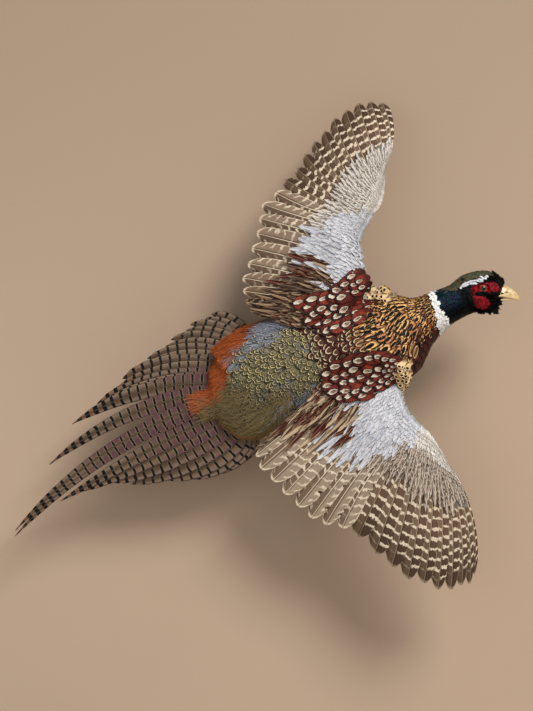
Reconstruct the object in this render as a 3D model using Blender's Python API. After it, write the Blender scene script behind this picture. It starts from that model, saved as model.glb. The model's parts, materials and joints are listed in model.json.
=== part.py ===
"""Cock common pheasant, mounted in flight and hung on a wall: the solids of the model at life size.

Metres. +X runs along the bird's heading, +Z is up and +Y points into the wall, whose face is Y = 0.
The origin is the middle of the hanger plate's back. The back of the bird faces -Y. Its body rolls
along the spine, so that the rump shows its back and the head its right side.
"""
import math

import bmesh
import bpy
import numpy as np

GAP = 0.0003                # clearance between solids that touch

# Stations along the spine, tail to bill: place of the section's middle, then its roll in degrees
# (0 is back to the viewer, 90 is crown up), half width, height of the back and depth of the belly.
SPINE = np.array([
    #   x       y       z      roll  half w   back    belly
    (-0.147, -0.1130, -0.059,   0, 0.0200, 0.0045, 0.0045),   # tips of the tail coverts
    (-0.134, -0.1130, -0.055,   0, 0.0470, 0.0130, 0.0100),   # root of the tail
    (-0.108, -0.1140, -0.045,   0, 0.0700, 0.0240, 0.0190),   # end of the rump
    (-0.080, -0.1150, -0.024,   0, 0.0760, 0.0340, 0.0300),   # rump
    (-0.042, -0.1170, -0.002,   0, 0.0720, 0.0430, 0.0420),   # loin
    (-0.001, -0.1180, 0.013,    4, 0.0660, 0.0480, 0.0520),   # back
    (0.042, -0.1190, 0.028,    12, 0.0610, 0.0500, 0.0580),   # middle of the back
    (0.082, -0.1210, 0.036,    24, 0.0650, 0.0500, 0.0640),   # behind the shoulders
    (0.115, -0.1230, 0.044,    32, 0.0710, 0.0490, 0.0720),   # shoulders
    (0.143, -0.1270, 0.058,    43, 0.0580, 0.0440, 0.0620),   # breast
    (0.168, -0.1310, 0.070,    55, 0.0350, 0.0310, 0.0400),   # root of the neck
    (0.189, -0.1350, 0.081,    66, 0.0270, 0.0280, 0.0285),   # white ring
    (0.207, -0.1390, 0.090,    75, 0.0240, 0.0255, 0.0255),   # neck
    (0.223, -0.1420, 0.098,    82, 0.0220, 0.0255, 0.0250),   # nape
    (0.238, -0.1440, 0.106,    88, 0.0215, 0.0290, 0.0280),   # back of the head
    (0.254, -0.1450, 0.110,    90, 0.0210, 0.0300, 0.0310),   # eyes
    (0.268, -0.1450, 0.1105,   90, 0.0185, 0.0280, 0.0270),   # lores
    (0.280, -0.1450, 0.1100,   90, 0.0135, 0.0210, 0.0180),   # forehead
    (0.2855, -0.1450, 0.1085,  90, 0.0090, 0.0130, 0.0120),   # base of the bill
])
SPINE_AROUND = 22
TRUNK_RINGS, COLLAR_RINGS, NECK_RINGS, HEAD_RINGS = 17, 3, 4, 9
TRUNK_END, COLLAR_END, NECK_END = 10.9, 11.6, 13.4          # stations where the body is divided

EYE_RADIUS = 0.0062
EYE_PLACE = (0.256, 0.1135)                     # x, z
EYE_HALF_SPAN = 0.0145                          # middle of the ball, off the head's mid-plane
HEAD_MID_Y = -0.145

BILL_ROOT = (0.2800, 0.1180)                    # x, z of the culmen, just inside the feathers
BILL_TIP = (0.3125, 0.0950)
BILL_GAPE_Z = 0.1010
BILL_LOWER_TIP = (0.3060, 0.0973)
BILL_HALF_WIDTH = 0.0068
BILL_LOWER_DEPTH = 0.0050
BILL_ARCH = 0.0010          # how far the culmen bows up
BILL_SAG = -0.0012          # and the lower half down
BILL_BLUNT = 0.985          # how much of the root's size is gone at the tip

# Each wing is a fan of feather lines. A line starts on the wing's front edge (or where the wing joins
# the body) and ends at a feather's tip. Lines are numbered from the innermost, 0, to the outermost, 22:
# twelve secondaries and tertials, then ten primaries.
INNER_FEATHERS, PRIMARIES = 12, 10
FEATHERS = INNER_FEATHERS + PRIMARIES
WINGS = {
    "right": {
        #         line    x       y       z
        "roots": [(0, 0.020, -0.146, -0.012), (4, 0.065, -0.149, -0.004), (6, 0.110, -0.149, -0.004),
                  (8, 0.126, -0.152, -0.034), (9.5, 0.136, -0.158, -0.064),
                  (12, 0.152, -0.166, -0.086), (17, 0.181, -0.172, -0.112),
                  (22, 0.210, -0.174, -0.155)],
        "tips": [(0, -0.036, -0.146, -0.083), (2.5, -0.072, -0.142, -0.112),
                 (4.5, -0.084, -0.140, -0.137), (7.5, -0.038, -0.140, -0.192),
                 (9.5, 0.001, -0.142, -0.228), (12, 0.058, -0.145, -0.250),
                 (14.5, 0.120, -0.150, -0.303), (17.5, 0.189, -0.155, -0.334),
                 (20.5, 0.237, -0.158, -0.323), (22, 0.247, -0.160, -0.304)],
        "bow": [(0, 0.004), (8, 0.0), (12, -0.006), (17, 0.006), (22, 0.013)],
        "camber": 0.010,
    },
    "left": {
        "roots": [(0, -0.002, -0.147, 0.055), (4, 0.045, -0.149, 0.080), (6, 0.077, -0.147, 0.098),
                  (8, 0.077, -0.145, 0.140), (9.5, 0.071, -0.147, 0.182),
                  (12, 0.084, -0.147, 0.214), (17, 0.104, -0.140, 0.249),
                  (22, 0.115, -0.125, 0.300)],
        "tips": [(0, -0.057, -0.140, 0.067), (2.5, -0.094, -0.135, 0.081),
                 (4.5, -0.105, -0.130, 0.111), (7.5, -0.088, -0.122, 0.175),
                 (10, -0.078, -0.112, 0.233), (12, -0.045, -0.100, 0.270),
                 (14.5, -0.010, -0.080, 0.323), (17, 0.029, -0.062, 0.369),
                 (20, 0.084, -0.052, 0.404), (22, 0.119, -0.050, 0.404)],
        "bow": [(0, -0.004), (8, 0.004), (12, -0.006), (17, -0.014), (22, 0.010)],
        "camber": 0.012,
    },
}
# Thickness across the wing, from its front edge (0) to a feather's tip (1).
WING_DEPTH = [(0, 0.0030), (0.06, 0.0110), (0.18, 0.0140), (0.38, 0.0060), (0.55, 0.0028), (1, 0.0012)]
INNER_DEPTH = 0.6           # thinner than that where the wing's inner end lies along the body
ARM_SHARE = 0.40            # share of each feather line that the coverts of the arm and hand take
ARM_SHARES = (0, 0.05, 0.19)                    # rows of points over the coverts, before their end
FLIGHT_ROWS = (0, 0.34, 0.7, 1)                 # and along the part of a feather that they leave free
TIP_NOTCH = {"tertials": 0.10, "secondaries": 0.10, "primaries": 0.14}
TIP_STEPS = (0.0, 0.28, 0.72)                   # places across one feather, for its rounded tip
GROUPS = {"tertials": (0, 4), "secondaries": (4, 12), "primaries": (12, 22)}
ARM_SPLIT = 12              # line where the arm's coverts end and the hand's begin

# Tail: nine pairs of feathers, middle pair first, stacked with the middle pair nearest the viewer.
# Each row: x and z of the root, x and z of the tip, and the bow of the feather as a share of its length.
TAIL_FEATHERS = {
    "left": (
        (-0.1002, -0.0409, -0.4445, -0.2503, 0.076),
        (-0.1002, -0.0364, -0.3930, -0.1506, 0.085),
        (-0.1002, -0.0315, -0.3586, -0.0895, 0.095),
        (-0.1002, -0.0242, -0.3213, -0.0599, 0.100),
        (-0.1002, -0.0129, -0.2825, -0.0210, 0.115),
        (-0.1002, -0.0020, -0.2452, 0.0094, 0.125),
        (-0.0994, 0.0102, -0.2095, 0.0381, 0.135),
        (-0.0973, 0.0211, -0.1804, 0.0608, 0.140),
        (-0.0945, 0.0304, -0.1488, 0.0770, 0.150)),
    "right": (
        (-0.1002, -0.0425, -0.4453, -0.2592, 0.072),
        (-0.0994, -0.0534, -0.3772, -0.2061, 0.010),
        (-0.0973, -0.0627, -0.3497, -0.1928, -0.020),
        (-0.0945, -0.0708, -0.3019, -0.1774, -0.055),
        (-0.0913, -0.0777, -0.2703, -0.1798, -0.085),
        (-0.0888, -0.0842, -0.2160, -0.1737, -0.120),
        (-0.0872, -0.0899, -0.1844, -0.1709, -0.140),
        (-0.0856, -0.0947, -0.1528, -0.1632, -0.150),
        (-0.0840, -0.0996, -0.1245, -0.1490, -0.150))}
TAIL_HALF_WIDTHS = (0.0135, 0.0150, 0.0155, 0.0155, 0.0155, 0.0155, 0.0150, 0.0150, 0.0145)
# A feather keeps its width for longer with a higher power.
TAIL_TIP_POWERS = (1.5, 1.8, 2.2, 2.8, 3.4, 3.6, 3.6, 3.6, 3.6)
TAIL_START = (-0.101, -0.1165)                  # x and y where the top feather's level is measured
TAIL_THICKNESS = 0.0006
TAIL_PITCH = 0.0010         # from one feather in the stack to the next
TAIL_SLOPE = 0.05           # how fast the tail nears the wall
TAIL_STATIONS = 7

# Legs, folded back under the belly: knee, ankle, foot and toe ends for the left leg's lateral place.
LEG_HALF_SPACING = 0.027
LEG_LINE = {"hip": (0.010, -0.100), "knee": (-0.020, -0.074), "ankle": (-0.062, -0.0660),
            "foot": (-0.132, -0.0740), "toes": (-0.180, -0.0700)}             # x along the body, y
THIGH_RADII = (0.0200, 0.0170, 0.0072)
TARSUS_RADIUS = 0.0036
TARSUS_SHAPE = ((0, 1.15), (0.12, 1.1), (0.5, 0.85), (0.92, 1.0), (1, 1.1))   # place along it, girth
TARSUS_INTO_THIGH = 0.002
FOOT_LENGTH = 0.009
TOE_RADIUS = 0.0026
TOE_LENGTHS = {"inner": 0.036, "middle": 0.047, "outer": 0.034, "hind": 0.015}
TOE_SPREADS = {"inner": -0.30, "middle": 0.0, "outer": 0.30}
CLAW_LENGTH = 0.010
TOE_STATIONS = 5
SPUR_LENGTH = 0.009
SPUR_RADII = (0.0022, 0.0016, 0.0003)
BODY_TILT = math.radians(24)                    # the body's line climbs towards the head

PLATE_WIDTH, PLATE_HEIGHT, PLATE_THICKNESS = 0.070, 0.050, 0.004
PLATE_CORNER = 0.006
ROD_RADIUS, ROD_SPACING = 0.004, 0.036
ROD_END_Y = -0.10           # inside the body, which cuts the rod off at its own surface


# ---- small helpers -------------------------------------------------------------------------------

def clear_scene():
    for old in list(bpy.data.objects):
        bpy.data.objects.remove(old, do_unlink=True)


def material(name, colour, roughness, metallic=0.0):
    found = bpy.data.materials.get(name)
    if found:
        return found
    new = bpy.data.materials.new(name)
    new.use_nodes = True
    shader = new.node_tree.nodes["Principled BSDF"]
    shader.inputs["Base Color"].default_value = (*colour, 1)
    shader.inputs["Roughness"].default_value = roughness
    shader.inputs["Metallic"].default_value = metallic
    new.diffuse_color = (*colour, 1)
    return new


FINISHES = {
    "body_plumage": ((0.16, 0.15, 0.09), 0.75), "neck_plumage": ((0.01, 0.04, 0.06), 0.35),
    "collar": ((0.80, 0.79, 0.76), 0.75), "wattle": ((0.36, 0.01, 0.02), 0.6),
    "bill": ((0.75, 0.56, 0.22), 0.4), "eye": ((0.35, 0.08, 0.02), 0.08),
    "covert_plumage": ((0.50, 0.52, 0.55), 0.7), "flight_feathers": ((0.16, 0.11, 0.07), 0.6),
    "tail_feathers": ((0.24, 0.20, 0.12), 0.6), "leg_scales": ((0.22, 0.20, 0.17), 0.5),
    "hanger_steel": ((0.45, 0.45, 0.46), 0.35, 1.0),
}


def finish(obj, kind):
    obj.data.materials.append(material(kind, *FINISHES[kind]))


def through(keys):
    """A smooth curve through rows of (parameter, values...), as a function of the parameter."""
    keys = np.array(keys, float)
    at, values = keys[:, 0], keys[:, 1:]
    slopes = np.gradient(values, at, axis=0)

    def read(t):
        t = min(max(t, at[0]), at[-1])
        i = min(np.searchsorted(at, t, side="right") - 1, len(at) - 2)
        span = at[i + 1] - at[i]
        s = (t - at[i]) / span
        return ((1 + 2 * s) * (1 - s) ** 2 * values[i] + s * (1 - s) ** 2 * span * slopes[i]
                + s * s * (3 - 2 * s) * values[i + 1] + s * s * (s - 1) * span * slopes[i + 1])
    return read


def unit(vector):
    return vector / np.linalg.norm(vector)


def mesh_object(name, points, faces, kind):
    """An object of these points and faces, closed and turned outwards."""
    mesh = bpy.data.meshes.new(name)
    mesh.from_pydata([tuple(p) for p in points], [], faces)
    work = bmesh.new()
    work.from_mesh(mesh)
    bmesh.ops.recalc_face_normals(work, faces=work.faces)
    bmesh.ops.triangulate(work, faces=[f for f in work.faces if len(f.verts) > 4])
    work.to_mesh(mesh)
    work.free()
    mesh.shade_smooth()
    obj = bpy.data.objects.new(name, mesh)
    bpy.context.scene.collection.objects.link(obj)
    finish(obj, kind)
    return obj


def loft(name, rings, kind):
    """A closed solid through equal rings of points, with a flat cap on each end."""
    count = len(rings[0])
    points = [p for ring in rings for p in ring]
    faces = []
    for r in range(len(rings) - 1):
        for i in range(count):
            a, b = r * count + i, r * count + (i + 1) % count
            faces += [(a, b, b + count), (a, b + count, a + count)]
    for r, ring in ((0, rings[0]), (len(rings) - 1, rings[-1])):
        middle = len(points)
        points.append(np.mean(ring, axis=0))
        faces += [(r * count + i, r * count + (i + 1) % count, middle) for i in range(count)]
    return mesh_object(name, points, faces, kind)


def tube(name, path, radii, kind, around=10, flat=1.0):
    """A round rod through the points of a path, its section squashed by flat along Y."""
    path = [np.array(p, float) for p in path]
    rings = []
    for i, middle in enumerate(path):
        along = unit(path[min(i + 1, len(path) - 1)] - path[max(i - 1, 0)])
        side = unit(np.cross(along, (0.0, 1.0, 0.001)))
        over = np.cross(side, along)
        turns = [2 * math.pi * k / around for k in range(around)]
        rings.append([middle + radii[i] * (math.cos(a) * side + flat * math.sin(a) * over)
                      for a in turns])
    return loft(name, rings, kind)


def boolean(obj, other, operation):
    """Cuts or joins obj with other, which is used up."""
    step = obj.modifiers.new(operation.title(), "BOOLEAN")
    step.operation = operation
    step.solver = "EXACT"
    step.object = other
    graph = bpy.context.evaluated_depsgraph_get()
    result = bpy.data.meshes.new_from_object(obj.evaluated_get(graph))
    obj.modifiers.remove(step)
    obj.data = result
    bpy.data.objects.remove(other, do_unlink=True)


# ---- body, neck and head -------------------------------------------------------------------------

spine = through([(i, *row) for i, row in enumerate(SPINE)])


def body_frame(t):
    """Middle, left and up directions, and sizes of the body's section at a station."""
    x, y, z, roll, half_width, back, belly = spine(t)
    ahead, behind = spine(t + 0.05)[:3], spine(t - 0.05)[:3]
    along = unit(ahead - behind)
    flat_up = unit(np.array((0, -1.0, 0)) - along * np.dot((0, -1.0, 0), along))
    flat_left = np.cross(flat_up, along)
    c, s = math.cos(math.radians(roll)), math.sin(math.radians(roll))
    return (np.array((x, y, z)), c * flat_left - s * flat_up, c * flat_up + s * flat_left,
            half_width, back, belly)


def body_ring(t, grow=0.0, around=SPINE_AROUND):
    middle, left, up, half_width, back, belly = body_frame(t)
    ring = []
    for k in range(around):
        a = 2 * math.pi * k / around
        height = back if math.sin(a) > 0 else belly
        ring.append(middle + left * (half_width + grow) * math.cos(a)
                    + up * (height + grow) * math.sin(a))
    return ring


CUT = 0.012                 # stations, half of the cut between two lengths of the body
LENGTHS = {                 # first and last station, number of rings, finish
    "trunk": (0, TRUNK_END - CUT, TRUNK_RINGS, "body_plumage"),
    "neck_ring": (TRUNK_END + CUT, COLLAR_END - CUT, COLLAR_RINGS, "collar"),
    "neck": (COLLAR_END + CUT, NECK_END - CUT, NECK_RINGS, "neck_plumage"),
    "head": (NECK_END + CUT, len(SPINE) - 1, HEAD_RINGS, "neck_plumage"),
}


def steps_of(length):
    start, end, count, _ = LENGTHS[length]
    return [start + (end - start) * i / (count - 1) for i in range(count)]


def body_cutter():
    """The whole body on the same rings, grown by the gap, to cut what is let into it."""
    steps = [t for length in LENGTHS for t in steps_of(length)]
    return loft("cutter", [body_ring(t, GAP) for t in steps], "body_plumage")


def make_body():
    made = {name: loft(name, [body_ring(t) for t in steps_of(name)], LENGTHS[name][3])
            for name in LENGTHS}
    return made["head"]


def ball(name, place, radius, kind, across=14):
    work = bmesh.new()
    bmesh.ops.create_uvsphere(work, u_segments=across, v_segments=across // 2, radius=radius)
    bmesh.ops.translate(work, verts=work.verts, vec=place)
    mesh = bpy.data.meshes.new(name)
    work.to_mesh(mesh)
    work.free()
    mesh.shade_smooth()
    obj = bpy.data.objects.new(name, mesh)
    bpy.context.scene.collection.objects.link(obj)
    finish(obj, kind)
    return obj


def make_eyes(head):
    """Eyeballs let into the head, each in a socket with a gap round it."""
    for side, sign in (("left", 1), ("right", -1)):
        place = (EYE_PLACE[0], HEAD_MID_Y + sign * EYE_HALF_SPAN, EYE_PLACE[1])
        boolean(head, ball("socket", place, EYE_RADIUS + GAP, "eye"), "DIFFERENCE")
        ball("eye_" + side, place, EYE_RADIUS, "eye")


def horn(name, root_top, root_low, tip, half_width, kind, droop, rings=7, around=12):
    """Half of a bill: a tapering horn from a tall root to a point, its upper or lower line bowed."""
    made = []
    for i in range(rings):
        s = i / (rings - 1)
        shrink = math.sqrt(1 - BILL_BLUNT * s ** 1.7)
        middle_root = (root_top[1] + root_low) / 2
        x = root_top[0] + (tip[0] - root_top[0]) * s
        z = middle_root + (tip[1] - middle_root) * s ** 1.6 + droop * math.sin(math.pi * s)
        half_height = (root_top[1] - root_low) / 2 * shrink
        width = half_width * shrink
        turns = [2 * math.pi * k / around for k in range(around)]
        made.append([np.array((x, HEAD_MID_Y + width * math.cos(a), z + half_height * math.sin(a)))
                     for a in turns])
    return loft(name, made, kind)


def make_bill():
    upper = horn("bill_upper", BILL_ROOT, BILL_GAPE_Z + GAP, BILL_TIP, BILL_HALF_WIDTH, "bill",
                 BILL_ARCH)
    lower_root = (BILL_ROOT[0], BILL_GAPE_Z)
    lower = horn("bill_lower", lower_root, BILL_GAPE_Z - BILL_LOWER_DEPTH, BILL_LOWER_TIP,
                 BILL_HALF_WIDTH * 0.9, "bill", BILL_SAG)
    # The lower half stays clear of the upper one, which hooks down over it.
    cut = horn("cut", (BILL_ROOT[0] - GAP, BILL_ROOT[1] + GAP), BILL_GAPE_Z, BILL_TIP,
               BILL_HALF_WIDTH + GAP, "bill", BILL_ARCH - GAP)
    boolean(lower, cut, "DIFFERENCE")
    return [upper, lower]


WATTLE_CENTRE, WATTLE_REACH = (15.45, -0.15), (1.55, 0.62)      # station, turn; half sizes
WATTLE_LIFT, WATTLE_RIM = 0.0022, 0.0009        # height of the middle over the rim, and of the rim


def make_wattles(head_shape):
    """Bare red skin round each eye, as a raised oval plate on the cheek."""
    rings, around = 3, 16
    for side, base_turn in (("left", 0.0), ("right", math.pi)):
        mirror = 1 if side == "left" else -1
        outer, inner = [], []
        for r in range(1, rings + 1):
            spread = r / rings
            for k in range(around):
                a = 2 * math.pi * k / around
                t = WATTLE_CENTRE[0] + WATTLE_REACH[0] * spread * math.cos(a)
                turn = base_turn + mirror * (WATTLE_CENTRE[1]
                                             + WATTLE_REACH[1] * spread * math.sin(a))
                lift = WATTLE_LIFT * (1 - spread ** 4) + WATTLE_RIM
                outer.append(head_shape(t, turn, lift))
                inner.append(head_shape(t, turn, 2 * GAP))
        middle_turn = base_turn + mirror * WATTLE_CENTRE[1]
        top = head_shape(WATTLE_CENTRE[0], middle_turn, WATTLE_LIFT + WATTLE_RIM)
        points = outer + inner + [top, head_shape(WATTLE_CENTRE[0], middle_turn, 2 * GAP)]
        per = rings * around
        faces = []
        for k in range(around):
            j = (k + 1) % around
            for layer in (0, per):
                for r in range(rings - 1):
                    a, b = layer + r * around, layer + (r + 1) * around
                    faces.append((a + k, a + j, b + j, b + k))
            faces.append((k, j, 2 * per))
            faces.append((per + k, per + j, 2 * per + 1))
            edge = (rings - 1) * around
            faces.append((edge + k, edge + j, per + edge + j, per + edge + k))
        wattle = mesh_object("wattle_" + side, points, faces, "wattle")
        place = (EYE_PLACE[0], HEAD_MID_Y + mirror * EYE_HALF_SPAN, EYE_PLACE[1])
        boolean(wattle, ball("socket", place, EYE_RADIUS + GAP, "eye"), "DIFFERENCE")


def on_body(t, turn, lift):
    """A point on the body's surface at a station and a turn round it, raised by lift."""
    middle, left, up, half_width, back, belly = body_frame(t)
    height = back if math.sin(turn) > 0 else belly
    return (middle + left * (half_width + lift) * math.cos(turn)
            + up * (height + lift) * math.sin(turn))


# ---- wings ---------------------------------------------------------------------------------------

def wing_reader(side):
    """(middle point, depth) of the wing at a feather line and a share of the way along it."""
    wing = WINGS[side]
    roots, tips = through(wing["roots"]), through(wing["tips"])
    bow = through(wing["bow"])
    depth = through(WING_DEPTH)

    def read(line, share):
        root, tip = roots(line), tips(line)
        point = root + (tip - root) * share
        point[1] = root[1] + (tip[1] - root[1]) * share ** 1.5
        point[1] -= wing["camber"] * 4 * share * (1 - share) * (1 - share)
        run = tip - root
        across = unit(np.array((-run[2], 0.0, run[0])))
        if side == "left":
            across = -across
        point += across * bow(line)[0] * 4 * share * (1 - share)
        taper = INNER_DEPTH + (1 - INNER_DEPTH) * min(line / 6, 1)
        return point, depth(share)[0] * taper
    return read


def wing_panel(name, read, lines, shares, kind):
    """A closed sheet over a grid of feather lines and shares. shares(line) gives each line's list."""
    rows = len(shares(lines[0]))
    upper, lower = [], []
    for line in lines:
        for share in shares(line):
            middle, thick = read(line, share)
            upper.append(middle - np.array((0, thick / 2, 0)))
            lower.append(middle + np.array((0, thick / 2, 0)))
    count = len(upper)
    faces = []
    for c in range(len(lines) - 1):
        for r in range(rows - 1):
            a, b = c * rows + r, (c + 1) * rows + r
            faces.append((a, b, b + 1, a + 1))
            faces.append((count + a, count + a + 1, count + b + 1, count + b))
        for r in (0, rows - 1):
            a, b = c * rows + r, (c + 1) * rows + r
            faces.append((a, b, count + b, count + a))
    for c in (0, len(lines) - 1):
        for r in range(rows - 1):
            a = c * rows + r
            faces.append((a, a + 1, count + a + 1, count + a))
    return mesh_object(name, upper + lower, faces, kind)


def feather_lines(first, last):
    lines = [i + step for i in range(first, last) for step in TIP_STEPS]
    return lines + [last - 0.001]


def make_wing(side):
    read = wing_reader(side)
    slip = 0.0011           # share of a line, half of the cut behind the coverts
    narrow = 0.014          # of a line, half of the cut between two groups

    def arm_shares(line):
        return [*ARM_SHARES, ARM_SHARE - slip]

    def shares_of(group):
        def shares(line):
            place = line - math.floor(line + 1e-6)
            edge = abs(2 * place - 1) ** 3
            end = 1 - TIP_NOTCH[group] * edge
            return [ARM_SHARE + slip + (end - ARM_SHARE - slip) * s for s in FLIGHT_ROWS]
        return shares

    def lines_of(first, last):
        lines = feather_lines(first, last)
        lines[0] += narrow
        lines[-1] -= narrow
        return lines

    made = [wing_panel(f"wing_{side}_arm", read, lines_of(0, ARM_SPLIT), arm_shares,
                       "covert_plumage"),
            wing_panel(f"wing_{side}_hand", read, lines_of(ARM_SPLIT, FEATHERS), arm_shares,
                       "covert_plumage")]
    for group, (first, last) in GROUPS.items():
        made.append(wing_panel(f"wing_{side}_{group}", read, lines_of(first, last),
                               shares_of(group), "flight_feathers"))
    return made


# ---- tail ----------------------------------------------------------------------------------------

def tail_feather(side, pair):
    """One long flat blade, pointed at the tip, in its own level of the stack."""
    level = 2 * pair + (side == "right")
    row = np.array(TAIL_FEATHERS[side][pair])
    root, tip, bow = row[:2], row[2:4], row[4]
    chord = tip - root
    across = np.array((chord[1], -chord[0]))        # already as long as the feather, and pointing up
    half = TAIL_HALF_WIDTHS[pair]
    sharp = 0.75 if pair < 3 else 0.50
    points = []
    for i in range(TAIL_STATIONS):
        s = i / (TAIL_STATIONS - 1)
        width = half * min(1, 0.45 + 2.2 * s) * (1 - 0.95 * s ** TAIL_TIP_POWERS[pair]) ** sharp
        middle = root + chord * s + across * bow * 4 * s * (1 - s)
        slant = chord + across * bow * 4 * (1 - 2 * s)
        beside = np.array((slant[1], -slant[0])) / np.linalg.norm(slant)
        for edge in (-1, 1):
            x, z = middle + beside * width * edge
            y = TAIL_START[1] + level * TAIL_PITCH - TAIL_SLOPE * (x - TAIL_START[0])
            for face in (0, TAIL_THICKNESS):
                points.append((x, y + face, z))
    faces = []
    for i in range(TAIL_STATIONS - 1):
        a, b = 4 * i, 4 * (i + 1)
        faces += [(a, a + 2, b + 2, b), (a + 1, b + 1, b + 3, a + 3),
                  (a, b, b + 1, a + 1), (a + 2, a + 3, b + 3, b + 2)]
    last = 4 * (TAIL_STATIONS - 1)
    faces += [(0, 1, 3, 2), (last, last + 2, last + 3, last + 1)]
    return mesh_object(f"tail_{side}_{pair + 1}", points, faces, "tail_feathers")


# ---- legs ----------------------------------------------------------------------------------------

def leg_point(x_along, y, lateral):
    """A point given along the body's line, with its place across the body."""
    c, s = math.cos(BODY_TILT), math.sin(BODY_TILT)
    return np.array((x_along * c - lateral * s, y, 0.012 + x_along * s + lateral * c))


def make_leg(side):
    lateral = LEG_HALF_SPACING * (1 if side == "left" else -1)
    joints = {name: leg_point(x, y, lateral) for name, (x, y) in LEG_LINE.items()}
    thigh_path = [joints["hip"], joints["knee"], joints["ankle"]]
    bend = through([(i, *p) for i, p in enumerate(thigh_path)])
    steps = [i / 3 for i in range(7)]
    radius = through([(i, r) for i, r in enumerate(THIGH_RADII)])

    def thigh_solid(name, grow):
        path = [bend(t) for t in steps]
        path[-1] = path[-1] + unit(path[-1] - path[-2]) * grow
        return tube(name, path, [radius(t)[0] + grow for t in steps], "body_plumage",
                    around=14, flat=0.75)

    thigh = thigh_solid("thigh_" + side, 0)
    run = unit(joints["foot"] - joints["ankle"])
    start = joints["ankle"] - run * TARSUS_INTO_THIGH
    shin = [start + (joints["foot"] - start) * s for s, _ in TARSUS_SHAPE]
    widths = [TARSUS_RADIUS * girth for _, girth in TARSUS_SHAPE]
    tarsus = tube("tarsus_" + side, shin, widths, "leg_scales")
    boolean(tarsus, thigh_solid("cutter", GAP), "DIFFERENCE")
    spur_root = shin[2] + (shin[3] - shin[2]) * 0.3
    spur_tip = spur_root + SPUR_LENGTH * unit(np.array((-0.3, 1.0, 0.1)))
    spur = tube("spur", [spur_root, (spur_root + spur_tip) / 2, spur_tip],
                SPUR_RADII, "leg_scales", around=6)
    boolean(tarsus, spur, "UNION")

    heel = joints["foot"] + run * 2 * GAP
    ahead = unit(joints["toes"] - joints["foot"])
    outward = unit(np.cross(ahead, (0, 1.0, 0))) * (1 if side == "left" else -1)
    foot = tube("foot_" + side, [heel, heel + run * 0.004, heel + run * FOOT_LENGTH],
                [TARSUS_RADIUS * 1.1, TARSUS_RADIUS * 1.35, TARSUS_RADIUS * 0.8], "leg_scales")
    for toe, length in TOE_LENGTHS.items():
        if toe == "hind":
            root, aim = heel + run * 0.004, unit(np.array((0.1, 0.9, 0)) + 0.4 * ahead)
        else:
            root, aim = heel + run * 0.005, unit(ahead + outward * TOE_SPREADS[toe])
        path, sizes = [], []
        for i in range(TOE_STATIONS):
            s = i / (TOE_STATIONS - 1)
            reach = (length + CLAW_LENGTH) * s
            curl = np.array((0, 0.010, 0)) * (s ** 2) * (length / 0.04)
            path.append(root + aim * reach + curl)
            sizes.append(TOE_RADIUS * (1 - 0.25 * s) if s < 0.75 else TOE_RADIUS * (1.05 - s) * 1.6)
        boolean(foot, tube("toe", path, sizes, "leg_scales", around=6), "UNION")
    return thigh


# ---- hanger --------------------------------------------------------------------------------------

def box(name, low, high, kind):
    work = bmesh.new()
    bmesh.ops.create_cube(work, size=1)
    middle, size = (np.array(low) + high) / 2, np.array(high) - low
    bmesh.ops.scale(work, verts=work.verts, vec=size)
    bmesh.ops.translate(work, verts=work.verts, vec=middle)
    bmesh.ops.bevel(work, geom=[e for e in work.edges if abs(e.verts[0].co.y - e.verts[1].co.y) > 0.001],
                    offset=PLATE_CORNER, segments=3, affect="EDGES")
    mesh = bpy.data.meshes.new(name)
    work.to_mesh(mesh)
    work.free()
    obj = bpy.data.objects.new(name, mesh)
    bpy.context.scene.collection.objects.link(obj)
    finish(obj, kind)
    return obj


def make_hanger():
    """A steel plate on the wall and two short rods from it into the bird's underside."""
    box("stand_wall_plate", (-PLATE_WIDTH / 2, -PLATE_THICKNESS, -PLATE_HEIGHT / 2),
        (PLATE_WIDTH / 2, 0, PLATE_HEIGHT / 2), "hanger_steel")
    rods = []
    for name, x in (("rear", -ROD_SPACING / 2), ("front", ROD_SPACING / 2)):
        path = [(x, -PLATE_THICKNESS - GAP, 0), (x, ROD_END_Y / 2, 0), (x, ROD_END_Y, 0)]
        rods.append(tube("stand_rod_" + name, path, [ROD_RADIUS] * 3, "hanger_steel", around=16))
    return rods


def main():
    clear_scene()
    head = make_body()
    make_eyes(head)
    make_wattles(on_body)
    let_in = make_bill() + make_hanger()
    for side in ("left", "right"):
        let_in += make_wing(side)
        let_in.append(make_leg(side))
        let_in += [tail_feather(side, pair) for pair in range(len(TAIL_HALF_WIDTHS))]
    for obj in let_in:
        boolean(obj, body_cutter(), "DIFFERENCE")


main()
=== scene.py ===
# %% [markdown]
# # A cock pheasant mounted in flight
# The real object is a taxidermy bird: a hollow skin over a form, hung on a wall by a hidden steel
# hanger, with its back to the room. The solids already give every outline. Here the flesh becomes one
# skin, and nearly everything a visitor sees of it is feather: thousands of separate vanes and tufts
# laid over that skin row by row, as they grow. A fur or hair system could grow them too, but only real
# mesh survives the export, so each feather is a small sheet of faces.
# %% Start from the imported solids
import json
import math

import bmesh
import bpy
import numpy as np

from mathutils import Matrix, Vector
from mathutils.kdtree import KDTree

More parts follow.
